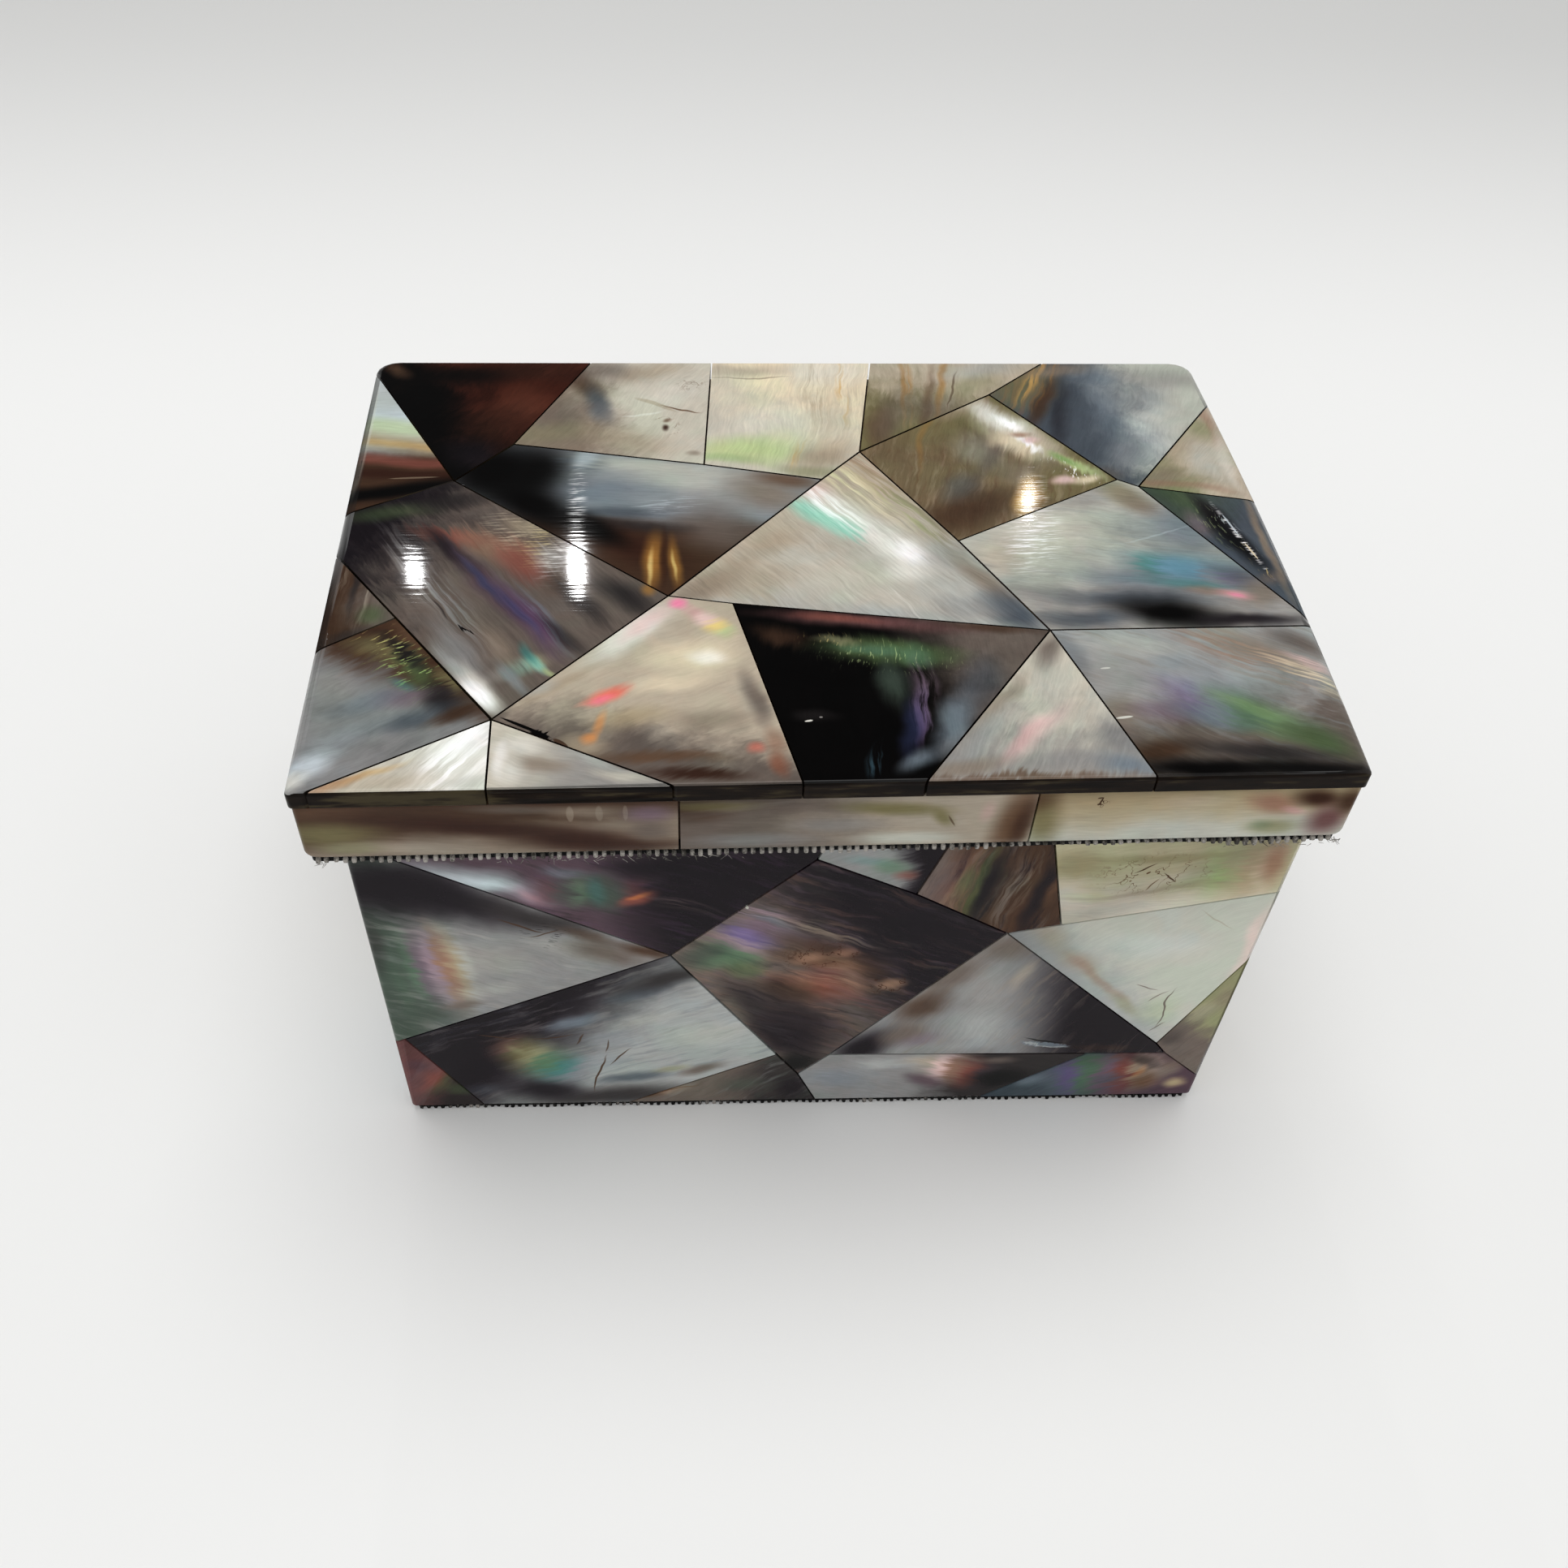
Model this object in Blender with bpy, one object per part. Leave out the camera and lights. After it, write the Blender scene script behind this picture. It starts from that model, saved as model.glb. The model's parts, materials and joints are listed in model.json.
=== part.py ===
"""Trinket box with a lift-off lid, a wooden box clad all over in mother-of-pearl mosaic.

Metres, +Z up. The origin is at the bottom centre, the front faces -Y. The box stands square to the
axes, and the lid rests on it a little turned and a little to one side, as a loose lid does.
"""
import math
import random

import bmesh
import bpy
from mathutils import Vector

MM = 0.001

# Lid, outside sizes
LID_WIDTH = 150 * MM
LID_DEPTH = 106 * MM
LID_TOP_SHELL = 3.1 * MM
LID_STRIP_HEIGHT = 10.6 * MM
LID_STRIP_SHELL = 2.0 * MM
LID_STRIP_INSET = 0.3 * MM
LID_RIGHT_BOW = 0.9 * MM
LID_TURN = math.radians(1.2)

# Box under the lid, and how the lid sits on it
BOX_HEIGHT = 73.5 * MM
BOX_SHELL = 2.2 * MM
LID_OVERHANG = 4.0 * MM
BOX_ASIDE = 1.0 * MM

# Wooden carcass
WALL = 5.5 * MM
FLOOR = 5.0 * MM

# Raised panel under the lid that keeps the lid on the box
LOCATOR_HEIGHT = 4.0 * MM
LOCATOR_PLAY = 0.6 * MM

# Ribbed cloth
LINING_CLOTH = 0.8 * MM
LID_CLOTH = 0.9 * MM
LID_CLOTH_INSET = 0.9 * MM
BASE_CLOTH = 1.2 * MM
BASE_CLOTH_INSET = 0.7 * MM

# Resin joint between neighbouring pieces
JOINT = 0.3 * MM

# Rounded corners and edges
FRONT_CORNER = 0.8 * MM
LID_BACK_CORNER = 3.0 * MM
BOX_BACK_CORNER = 1.8 * MM
WOOD_CORNER = 1.0 * MM
LID_SIDE_ARRIS = 1.6 * MM
LID_END_ARRIS = 0.5 * MM
LID_ARRIS_DROP = 0.8 * MM
STRIP_END_ROUND = 1.5 * MM
STRIP_EDGE_ROUND = 0.4 * MM
CORNER_STEPS = 4
BOW_STEPS = 8

# Points closer than this on one piece are the same point
WELD = 0.01 * MM

# Bed of resin that carries the mosaic of a plainer face
BED = 0.8 * MM
BED_GRIP = 0.4 * MM
BED_MARGIN = 0.2 * MM

# Heights, from the surface that the box stands on
BOX_BASE = BASE_CLOTH + JOINT
BOX_TOP = BOX_BASE + BOX_HEIGHT
LID_BASE = BOX_TOP + JOINT + LID_CLOTH + JOINT
LID_TOP_BASE = LID_BASE + LID_STRIP_HEIGHT + JOINT
LID_TOP = LID_TOP_BASE + LID_TOP_SHELL

# Plan sizes that follow from the above
BOX_WIDTH = LID_WIDTH - 2 * LID_OVERHANG
BOX_DEPTH = LID_DEPTH - 2 * LID_OVERHANG
CARCASS_WIDTH = BOX_WIDTH - 2 * (BOX_SHELL + JOINT)
CARCASS_DEPTH = BOX_DEPTH - 2 * (BOX_SHELL + JOINT)
LINING_WIDTH = CARCASS_WIDTH - 2 * (WALL + JOINT)
LINING_DEPTH = CARCASS_DEPTH - 2 * (WALL + JOINT)
HOLLOW_WIDTH = LINING_WIDTH - 2 * LINING_CLOTH
HOLLOW_DEPTH = LINING_DEPTH - 2 * LINING_CLOTH
STRIP_WIDTH = LID_WIDTH - 2 * LID_STRIP_INSET
STRIP_DEPTH = LID_DEPTH - 2 * LID_STRIP_INSET
BOARD_WIDTH = STRIP_WIDTH - 2 * (LID_STRIP_SHELL + JOINT)
BOARD_DEPTH = STRIP_DEPTH - 2 * (LID_STRIP_SHELL + JOINT)

# The cloth-covered panel under the lid clears the hollow although the lid is turned and stands aside
TURN = abs(math.sin(LID_TURN))
CLAD_LOCATOR_WIDTH = HOLLOW_WIDTH - 2 * (LOCATOR_PLAY + abs(BOX_ASIDE)) - HOLLOW_DEPTH * TURN
CLAD_LOCATOR_DEPTH = HOLLOW_DEPTH - 2 * LOCATOR_PLAY - HOLLOW_WIDTH * TURN
LOCATOR_WIDTH = CLAD_LOCATOR_WIDTH - 2 * (LID_CLOTH + JOINT)
LOCATOR_DEPTH = CLAD_LOCATOR_DEPTH - 2 * (LID_CLOTH + JOINT)

# Mean colours of the blacklip shell, the wood and the cloth
SHADES = {
    "pearl": (0.72, 0.70, 0.62),
    "silver": (0.50, 0.54, 0.56),
    "sand": (0.52, 0.45, 0.33),
    "smoke": (0.22, 0.24, 0.25),
    "umber": (0.16, 0.11, 0.08),
    "night": (0.07, 0.07, 0.08),
}
WOOD_COLOUR = (0.16, 0.09, 0.05)
CLOTH_COLOUR = (0.13, 0.13, 0.14)

# Corners of the lid's mosaic, as shares of the lid's width and depth from its front left corner
LID_CORNER_SHARES = {
    "front_left": (0, 0), "front_right": (1, 0), "back_left": (0, 1), "back_right": (1, 1),
    "A": (0, 0.965), "B": (0.111, 0.657), "C": (0, 0.572), "D": (0.256, 1), "E": (0.172, 0.755),
    "F": (0.402, 1), "G": (0.387, 0.698), "H": (0.597, 1), "I": (0.566, 0.732), "J": (0.518, 0.657),
    "K": (0.815, 1), "L": (0.735, 0.898), "N": (0.855, 0.653), "O": (0.877, 0.634),
    "P": (0.657, 0.498), "Q": (0.730, 0.291), "R": (1, 0.866), "S": (1, 0.596), "T": (1, 0.294),
    "T1": (1, 0.319), "U": (0.344, 0.375), "V": (0.410, 0.357), "X": (0.177, 0.126),
    "Y": (0, 0.477), "Z": (0.073, 0.333), "a": (0, 0.264), "b": (0.018, 0), "c": (0.178, 0),
    "d": (0.347, 0), "e": (0.464, 0), "f": (0.577, 0), "g": (0.793, 0),
}
LID_TILES = [
    ("A B C", "pearl"),
    ("A back_left D E B", "night"),
    ("D F G E", "sand"),
    ("F H I J G", "pearl"),
    ("H K L I", "sand"),
    ("K back_right R O N L", "smoke"),
    ("R S O", "sand"),
    ("E G J U B", "smoke"),
    ("I P Q V U J", "pearl"),
    ("L N P I", "sand"),
    ("P N O T1 T Q", "silver"),
    ("O S T1", "umber"),
    ("C B U X Z Y", "smoke"),
    ("Y Z a", "umber"),
    ("Z X b front_left a", "smoke"),
    ("U V e d X", "pearl"),
    ("V Q f e", "night"),
    ("Q g f", "silver"),
    ("Q T front_right g", "silver"),
    ("X c b", "pearl"),
    ("X d c", "pearl"),
]

# Corners of the front's mosaic, as shares of the box's width and height from its lower left corner
FRONT_CORNER_SHARES = {
    "low_left": (0, 0), "low_right": (1, 0), "top_left": (0, 1), "top_right": (1, 1),
    "A": (0, 0.988), "B": (0.330, 0.604), "C": (0, 0.279), "D": (0.500, 1), "E": (0.486, 0.924),
    "F": (0.628, 1), "G": (0.597, 0.809), "H": (0.707, 0.671), "I": (0.730, 1), "J": (0.765, 0.700),
    "K": (1, 0.808), "L": (1, 0.579), "M": (0.928, 0.231), "N": (0.944, 0.188), "O": (1, 0.080),
    "P": (0.522, 0.202), "Q": (0.845, 0.191), "R": (0.485, 0.119), "S": (0.510, 0),
    "T": (0.723, 0), "U": (0.457, 0.205), "V": (0.272, 0), "W": (0.091, 0), "X": (0.013, 0.292),
}
FRONT_TILES = [
    ("C A B", "silver"),
    ("A top_left D E B", "smoke"),
    ("B E G H P R", "umber"),
    ("E D F G", "smoke"),
    ("F I J H G", "umber"),
    ("I top_right K J", "sand"),
    ("J K L M H", "pearl"),
    ("L O N M", "smoke"),
    ("H M N P", "smoke"),
    ("P Q T S R", "pearl"),
    ("Q N O low_right T", "smoke"),
    ("U R S V", "umber"),
    ("B U V W X", "silver"),
    ("C X W low_left", "night"),
]

# Upright joints in the strips round the lid's edge, as shares of each strip's length
STRIP_JOINT_SHARES = {
    "front": (0.350, 0.687),
    "back": (0.300, 0.640),
    "left": (0.560,),
    "right": (0.410,),
}
STRIP_SHADES = {
    "front": ("sand", "pearl", "sand"),
    "back": ("silver", "sand", "pearl"),
    "left": ("sand", "silver"),
    "right": ("pearl", "sand"),
}

# Broken shell on the faces turned away: tiles, seed and shade
BROKEN_FACES = {
    "back": (13, 7, "smoke"),
    "left": (8, 21, "silver"),
    "right": (8, 4, "sand"),
}
SPLIT_SPREAD = 0.55
SPLIT_SLANT = 0.12


def clear_scene():
    for thing in list(bpy.data.objects):
        bpy.data.objects.remove(thing, do_unlink=True)


def empty(name, x, turn):
    """A frame that carries a group of pieces."""
    frame = bpy.data.objects.new(name, None)
    frame.location.x = x
    frame.rotation_euler.z = turn
    bpy.context.collection.objects.link(frame)
    return frame


def shell_material(name, colour):
    return finish(name, colour, 0.16)


def finish(name, colour, roughness):
    material = bpy.data.materials.new(name)
    material.use_nodes = True
    principled = material.node_tree.nodes["Principled BSDF"]
    principled.inputs["Base Color"].default_value = (*colour, 1.0)
    principled.inputs["Roughness"].default_value = roughness
    principled.inputs["Metallic"].default_value = 0.0
    return material


def ring(width, depth, z, corners, bow=0.0):
    """Points round a rectangle with rounded corners; corners holds the front and the back radius.

    With a bow, the right side swells out by that much at its middle.
    """
    front, back = corners
    points = []
    for quarter, (side, end, radius) in enumerate(
        [(1, -1, front), (1, 1, back), (-1, 1, back), (-1, -1, front)]
    ):
        centre_x = side * (width / 2 - radius)
        centre_y = end * (depth / 2 - radius)
        for step in range(CORNER_STEPS + 1):
            angle = math.radians(90 * (quarter - 1 + step / CORNER_STEPS))
            x = centre_x + radius * math.cos(angle)
            y = centre_y + radius * math.sin(angle)
            points.append(Vector((x, y, z)))
        if quarter == 0 and bow:
            points.extend(bowed_side(width / 2, front - depth / 2, depth / 2 - back, z, bow))
    return points


def bowed_side(x, start, stop, z, bow):
    """Points along a side that runs from front to back and swells out between its ends."""
    middle, reach = (start + stop) / 2, (stop - start) / 2
    places = [2 * step / BOW_STEPS - 1 for step in range(1, BOW_STEPS)]
    return [Vector((x + bow * (1 - t * t), middle + t * reach, z)) for t in places]


def loft(rings):
    """A closed body through rings of equal length, with its first and last ring filled."""
    body = bmesh.new()
    loops = [[body.verts.new(point) for point in points] for points in rings]
    for low, high in zip(loops, loops[1:]):
        for here in range(len(low)):
            there = (here + 1) % len(low)
            body.faces.new((low[here], low[there], high[there], high[here]))
    body.faces.new(list(reversed(loops[0])))
    body.faces.new(loops[-1])
    bmesh.ops.recalc_face_normals(body, faces=body.faces)
    return body


def keep_behind(body, point, normal):
    """Saw the body along a plane and keep what lies behind it, closed again."""
    bmesh.ops.bisect_plane(
        body,
        geom=body.verts[:] + body.edges[:] + body.faces[:],
        plane_co=point,
        plane_no=normal,
        clear_outer=True,
    )
    rim = [edge for edge in body.edges if edge.is_boundary]
    if rim:
        bmesh.ops.contextual_create(body, geom=rim)
        bmesh.ops.recalc_face_normals(body, faces=body.faces)


def add_piece(name, body, material, frame):
    mesh = bpy.data.meshes.new(name)
    body.to_mesh(mesh)
    body.free()
    mesh.shade_smooth()
    mesh.set_sharp_from_angle(angle=math.radians(30))
    piece = bpy.data.objects.new(name, mesh)
    piece.parent = frame
    bpy.context.collection.objects.link(piece)
    mesh.materials.append(material)
    return piece


class Face:
    """A flat side that carries mosaic: its lower left corner and its two edges, seen from outside."""

    def __init__(self, corner, across, up):
        self.corner = Vector(corner)
        self.across = Vector(across)
        self.up = Vector(up)
        self.width = self.across.length
        self.height = self.up.length
        self.outward = self.across.cross(self.up).normalized()

    def place(self, share):
        return self.corner + share[0] * self.across + share[1] * self.up


def on_border(first, second):
    """Whether an edge between two corners, given as shares, runs along the face's own border."""
    for axis in (0, 1):
        for border in (0, 1):
            if abs(first[axis] - border) < 1e-9 and abs(second[axis] - border) < 1e-9:
                return True
    return False


def cut_tile(blank, face, outline):
    """Saw one tile out of a blank, half a joint inside each edge that has a neighbour."""
    tile = blank.copy()
    places = [face.place(share) for share in outline]
    middle = sum(places, Vector()) / len(places)
    for index, share in enumerate(outline):
        following = (index + 1) % len(outline)
        if on_border(share, outline[following]):
            continue
        away = (places[following] - places[index]).cross(face.outward).normalized()
        if away.dot(places[index] - middle) < 0:
            away.negate()
        keep_behind(tile, places[index] - away * JOINT / 2, away)
    bmesh.ops.remove_doubles(tile, verts=tile.verts, dist=WELD)
    return tile


def split(outline, point, direction):
    """The two convex outlines on either side of a line."""
    sides = ([], [])
    normal = (-direction[1], direction[0])
    heights = [(p[0] - point[0]) * normal[0] + (p[1] - point[1]) * normal[1] for p in outline]
    for index, corner in enumerate(outline):
        following = (index + 1) % len(outline)
        here, there = heights[index], heights[following]
        sides[0 if here >= 0 else 1].append(corner)
        if (here >= 0) != (there >= 0):
            share = here / (here - there)
            nearer = tuple(a + share * (b - a) for a, b in zip(corner, outline[following]))
            sides[0].append(nearer)
            sides[1].append(nearer)
    return sides


def area(outline):
    total = 0.0
    for index, (x, y) in enumerate(outline):
        next_x, next_y = outline[(index + 1) % len(outline)]
        total += x * next_y - next_x * y
    return abs(total) / 2


def broken_outlines(face, count, seed):
    """Outlines of a face broken into irregular tiles, always splitting the largest across its length."""
    chance = random.Random(seed)
    outlines = [[(0.0, 0.0), (1.0, 0.0), (1.0, 1.0), (0.0, 1.0)]]
    while len(outlines) < count:
        outlines.sort(key=area)
        largest = outlines.pop()
        centre = [sum(values) / len(largest) for values in zip(*largest)]
        point = [c + chance.uniform(-SPLIT_SLANT, SPLIT_SLANT) * 0.5 for c in centre]
        spans = [(max(values) - min(values)) for values in zip(*largest)]
        wide = spans[0] * face.width > spans[1] * face.height
        angle = (math.pi / 2 if wide else 0.0) + chance.uniform(-SPLIT_SPREAD, SPLIT_SPREAD)
        direction = (math.cos(angle) / face.width, math.sin(angle) / face.height)
        outlines.extend(split(largest, point, direction))
    return outlines


def tray(outer_width, outer_depth, base, top, wall, floor, corner):
    """An open box with walls and a floor of one thickness each."""
    corners = (corner, corner)
    inner_width = outer_width - 2 * wall
    inner_depth = outer_depth - 2 * wall
    return loft([
        ring(outer_width, outer_depth, base, corners),
        ring(outer_width, outer_depth, top, corners),
        ring(inner_width, inner_depth, top, corners),
        ring(inner_width, inner_depth, base + floor, corners),
    ])


def make_carcass(frame):
    body = tray(CARCASS_WIDTH, CARCASS_DEPTH, BOX_BASE, BOX_TOP, WALL, FLOOR, WOOD_CORNER)
    add_piece("box_carcass", body, finish("box_wood", WOOD_COLOUR, 0.6), frame)


def make_lining(frame):
    base = BOX_BASE + FLOOR + JOINT
    body = tray(LINING_WIDTH, LINING_DEPTH, base, BOX_TOP, LINING_CLOTH, LINING_CLOTH, WOOD_CORNER)
    add_piece("box_lining", body, finish("lining_cloth", CLOTH_COLOUR, 0.9), frame)


def make_base_cloth(frame):
    width = BOX_WIDTH - 2 * BASE_CLOTH_INSET
    depth = BOX_DEPTH - 2 * BASE_CLOTH_INSET
    corners = (FRONT_CORNER, BOX_BACK_CORNER)
    body = loft([ring(width, depth, 0.0, corners), ring(width, depth, BASE_CLOTH, corners)])
    add_piece("base_cloth", body, finish("base_cloth", CLOTH_COLOUR, 0.9), frame)


def box_blank():
    """The block that the tiles on the sides of the box are sawn from."""
    corners = (FRONT_CORNER, BOX_BACK_CORNER)
    return loft([
        ring(BOX_WIDTH, BOX_DEPTH, BOX_BASE, corners),
        ring(BOX_WIDTH, BOX_DEPTH, BOX_TOP, corners),
    ])


def keep_plate(body, face, thickness):
    """Keep the outermost layer of a block, as thick as the shell on that face."""
    keep_behind(body, face.corner - face.outward * thickness, -face.outward)


def make_front(frame):
    left, front = -BOX_WIDTH / 2, -BOX_DEPTH / 2
    face = Face((left, front, BOX_BASE), (BOX_WIDTH, 0, 0), (0, 0, BOX_HEIGHT))
    blank = box_blank()
    keep_plate(blank, face, BOX_SHELL)
    for number, (corners, shade) in enumerate(FRONT_TILES, start=1):
        name = f"front_tile_{number:02d}"
        outline = [FRONT_CORNER_SHARES[corner] for corner in corners.split()]
        tile = cut_tile(blank, face, outline)
        add_piece(name, tile, shell_material(name, SHADES[shade]), frame)
    blank.free()


def broken_face(side):
    """The face and the block for one of the plainer sides; the end sides fit between front and back."""
    half_width, half_depth = BOX_WIDTH / 2, BOX_DEPTH / 2
    up = (0, 0, BOX_HEIGHT)
    block = box_blank()
    if side == "back":
        return Face((half_width, half_depth, BOX_BASE), (-BOX_WIDTH, 0, 0), up), block
    reach = half_depth - BOX_SHELL - JOINT
    for end in (-1, 1):
        keep_behind(block, Vector((0, end * reach, 0)), Vector((0, end, 0)))
    if side == "left":
        return Face((-half_width, reach, BOX_BASE), (0, -2 * reach, 0), up), block
    return Face((half_width, -reach, BOX_BASE), (0, 2 * reach, 0), up), block


def make_broken_side(side, frame):
    """One solid: a bed of resin with the tiles of that side standing in it."""
    count, seed, shade = BROKEN_FACES[side]
    face, blank = broken_face(side)
    bed = blank.copy()
    keep_plate(bed, face, BOX_SHELL)
    keep_behind(bed, face.corner - face.outward * (BOX_SHELL - BED), face.outward)
    for border, inward in (
        (face.corner, face.across),
        (face.corner + face.across, -face.across),
        (face.corner, face.up),
        (face.corner + face.up, -face.up),
    ):
        inward = inward.normalized()
        keep_behind(bed, border + inward * BED_MARGIN, -inward)
    keep_plate(blank, face, BOX_SHELL - BED + BED_GRIP)
    tiles = bmesh.new()
    for outline in broken_outlines(face, count, seed):
        tile = cut_tile(blank, face, outline)
        scrap = bpy.data.meshes.new("tile")
        tile.to_mesh(scrap)
        tiles.from_mesh(scrap)
        tile.free()
        bpy.data.meshes.remove(scrap)
    blank.free()
    name = f"{side}_mosaic"
    material = shell_material(name, SHADES[shade])
    mosaic = add_piece(name, bed, material, frame)
    cutter = add_piece(f"{side}_tiles", tiles, material, frame)
    cutter.hide_render = True
    cutter.display_type = "WIRE"
    union = mosaic.modifiers.new("fuse", "BOOLEAN")
    union.operation = "UNION"
    union.solver = "EXACT"
    union.object = cutter
    weld = mosaic.modifiers.new("weld", "WELD")
    weld.merge_threshold = WELD


def make_lid_board(frame):
    """The lid's wooden board with the locating panel under it, one piece."""
    corners = (WOOD_CORNER, WOOD_CORNER)
    low = LID_BASE - LOCATOR_HEIGHT
    body = loft([
        ring(LOCATOR_WIDTH, LOCATOR_DEPTH, low, corners),
        ring(LOCATOR_WIDTH, LOCATOR_DEPTH, LID_BASE, corners),
        ring(BOARD_WIDTH, BOARD_DEPTH, LID_BASE, corners),
        ring(BOARD_WIDTH, BOARD_DEPTH, LID_BASE + LID_STRIP_HEIGHT, corners),
    ])
    add_piece("lid_board", body, finish("lid_wood", WOOD_COLOUR, 0.6), frame)


def make_lid_cloth(frame):
    """Cloth over the lid's underside, up against the strips' lower edges and round the panel."""
    wood = (WOOD_CORNER, WOOD_CORNER)
    edge = (FRONT_CORNER, LID_BACK_CORNER)
    width = LID_WIDTH - 2 * LID_CLOTH_INSET
    depth = LID_DEPTH - 2 * LID_CLOTH_INSET
    pocket_width = LOCATOR_WIDTH + 2 * JOINT
    pocket_depth = LOCATOR_DEPTH + 2 * JOINT
    brim_top = LID_BASE - JOINT
    brim_low = brim_top - LID_CLOTH
    body = loft([
        ring(pocket_width, pocket_depth, brim_top - LOCATOR_HEIGHT, wood),
        ring(pocket_width, pocket_depth, brim_top, wood),
        ring(width, depth, brim_top, edge),
        ring(width, depth, brim_low, edge),
        ring(CLAD_LOCATOR_WIDTH, CLAD_LOCATOR_DEPTH, brim_low, wood),
        ring(CLAD_LOCATOR_WIDTH, CLAD_LOCATOR_DEPTH, brim_low - LOCATOR_HEIGHT, wood),
    ])
    add_piece("lid_cloth", body, finish("lid_cloth", CLOTH_COLOUR, 0.9), frame)


def lid_top_blank():
    """The plate that the lid's tiles are sawn from, with its upper edge eased all round."""
    corners = (FRONT_CORNER, LID_BACK_CORNER)
    rings = [ring(LID_WIDTH, LID_DEPTH, LID_TOP_BASE, corners, LID_RIGHT_BOW)]
    for step in range(CORNER_STEPS + 1):
        angle = math.radians(90 * step / CORNER_STEPS)
        eased = 1 - math.cos(angle)
        rings.append(ring(
            LID_WIDTH - 2 * LID_SIDE_ARRIS * eased,
            LID_DEPTH - 2 * LID_END_ARRIS * eased,
            LID_TOP - LID_ARRIS_DROP * (1 - math.sin(angle)),
            corners,
            LID_RIGHT_BOW,
        ))
    return loft(rings)


def make_lid_top(frame):
    corner = (-LID_WIDTH / 2, -LID_DEPTH / 2, LID_TOP)
    face = Face(corner, (LID_WIDTH, 0, 0), (0, LID_DEPTH, 0))
    blank = lid_top_blank()
    for number, (corners, shade) in enumerate(LID_TILES, start=1):
        name = f"lid_tile_{number:02d}"
        outline = [LID_CORNER_SHARES[corner] for corner in corners.split()]
        tile = cut_tile(blank, face, outline)
        add_piece(name, tile, shell_material(name, SHADES[shade]), frame)
    blank.free()


def strip_blank():
    """The band round the lid's edge, as a block, with its lower edge eased."""
    corners = (FRONT_CORNER, LID_BACK_CORNER)
    rings = []
    for step in range(CORNER_STEPS + 1):
        angle = math.radians(90 * step / CORNER_STEPS)
        eased = 1 - math.sin(angle)
        rings.append(ring(
            STRIP_WIDTH - 2 * STRIP_END_ROUND * eased,
            STRIP_DEPTH - 2 * STRIP_EDGE_ROUND * eased,
            LID_BASE + STRIP_END_ROUND * (1 - math.cos(angle)),
            corners,
            LID_RIGHT_BOW,
        ))
    top = LID_BASE + LID_STRIP_HEIGHT
    rings.append(ring(STRIP_WIDTH, STRIP_DEPTH, top, corners, LID_RIGHT_BOW))
    return loft(rings)


def make_strips(frame):
    """Strips of shell round the lid's edge: front and back full width, the ends between them."""
    half_width, half_depth = STRIP_WIDTH / 2, STRIP_DEPTH / 2
    reach = half_depth - LID_STRIP_SHELL - JOINT
    up = (0, 0, LID_STRIP_HEIGHT)
    faces = {
        "front": Face((-half_width, -half_depth, LID_BASE), (STRIP_WIDTH, 0, 0), up),
        "back": Face((half_width, half_depth, LID_BASE), (-STRIP_WIDTH, 0, 0), up),
        "left": Face((-half_width, reach, LID_BASE), (0, -2 * reach, 0), up),
        "right": Face((half_width, -reach, LID_BASE), (0, 2 * reach, 0), up),
    }
    for side, face in faces.items():
        blank = strip_blank()
        keep_plate(blank, face, LID_STRIP_SHELL)
        if side in ("left", "right"):
            for end in (-1, 1):
                keep_behind(blank, Vector((0, end * reach, 0)), Vector((0, end, 0)))
        stops = (0, *STRIP_JOINT_SHARES[side], 1)
        for number, (start, stop) in enumerate(zip(stops, stops[1:]), start=1):
            outline = [(start, 0), (stop, 0), (stop, 1), (start, 1)]
            strip = cut_tile(blank, face, outline)
            name = f"lid_{side}_strip_{number}"
            shade = STRIP_SHADES[side][number - 1]
            add_piece(name, strip, shell_material(name, SHADES[shade]), frame)
        blank.free()


def main():
    clear_scene()
    box = empty("box", BOX_ASIDE, 0.0)
    lid = empty("lid", 0.0, LID_TURN)
    make_carcass(box)
    make_lining(box)
    make_base_cloth(box)
    make_front(box)
    for side in BROKEN_FACES:
        make_broken_side(side, box)
    make_lid_board(lid)
    make_lid_cloth(lid)
    make_strips(lid)
    make_lid_top(lid)


main()
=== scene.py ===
"""Looks of the shell box: blacklip mother-of-pearl under lacquer, dark resin joints and ribbed cloth.

Metres, +Z up. Patches of colour on a face are placed in millimetres from the face's lower left corner.
"""
import json
import math
import random

import bmesh
import bpy
from mathutils import Matrix, Vector, noise

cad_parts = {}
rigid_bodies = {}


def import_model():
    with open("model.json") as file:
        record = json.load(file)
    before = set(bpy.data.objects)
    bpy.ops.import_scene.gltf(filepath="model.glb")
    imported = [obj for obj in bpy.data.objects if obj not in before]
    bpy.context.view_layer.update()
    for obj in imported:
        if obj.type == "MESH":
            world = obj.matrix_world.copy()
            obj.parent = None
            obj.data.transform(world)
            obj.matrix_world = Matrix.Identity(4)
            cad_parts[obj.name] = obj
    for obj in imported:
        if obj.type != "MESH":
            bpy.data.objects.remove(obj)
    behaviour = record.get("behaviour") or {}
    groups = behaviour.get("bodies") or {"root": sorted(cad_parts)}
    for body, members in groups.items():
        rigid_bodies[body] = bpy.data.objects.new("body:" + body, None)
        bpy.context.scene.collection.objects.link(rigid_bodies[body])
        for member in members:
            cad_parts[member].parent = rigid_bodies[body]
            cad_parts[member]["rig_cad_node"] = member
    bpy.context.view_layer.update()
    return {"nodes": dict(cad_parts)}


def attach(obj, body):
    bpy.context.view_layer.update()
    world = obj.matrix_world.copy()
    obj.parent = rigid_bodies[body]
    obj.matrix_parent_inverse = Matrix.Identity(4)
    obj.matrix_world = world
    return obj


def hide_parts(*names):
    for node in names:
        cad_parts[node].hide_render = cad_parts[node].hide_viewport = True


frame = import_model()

MM = 0.001

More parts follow.
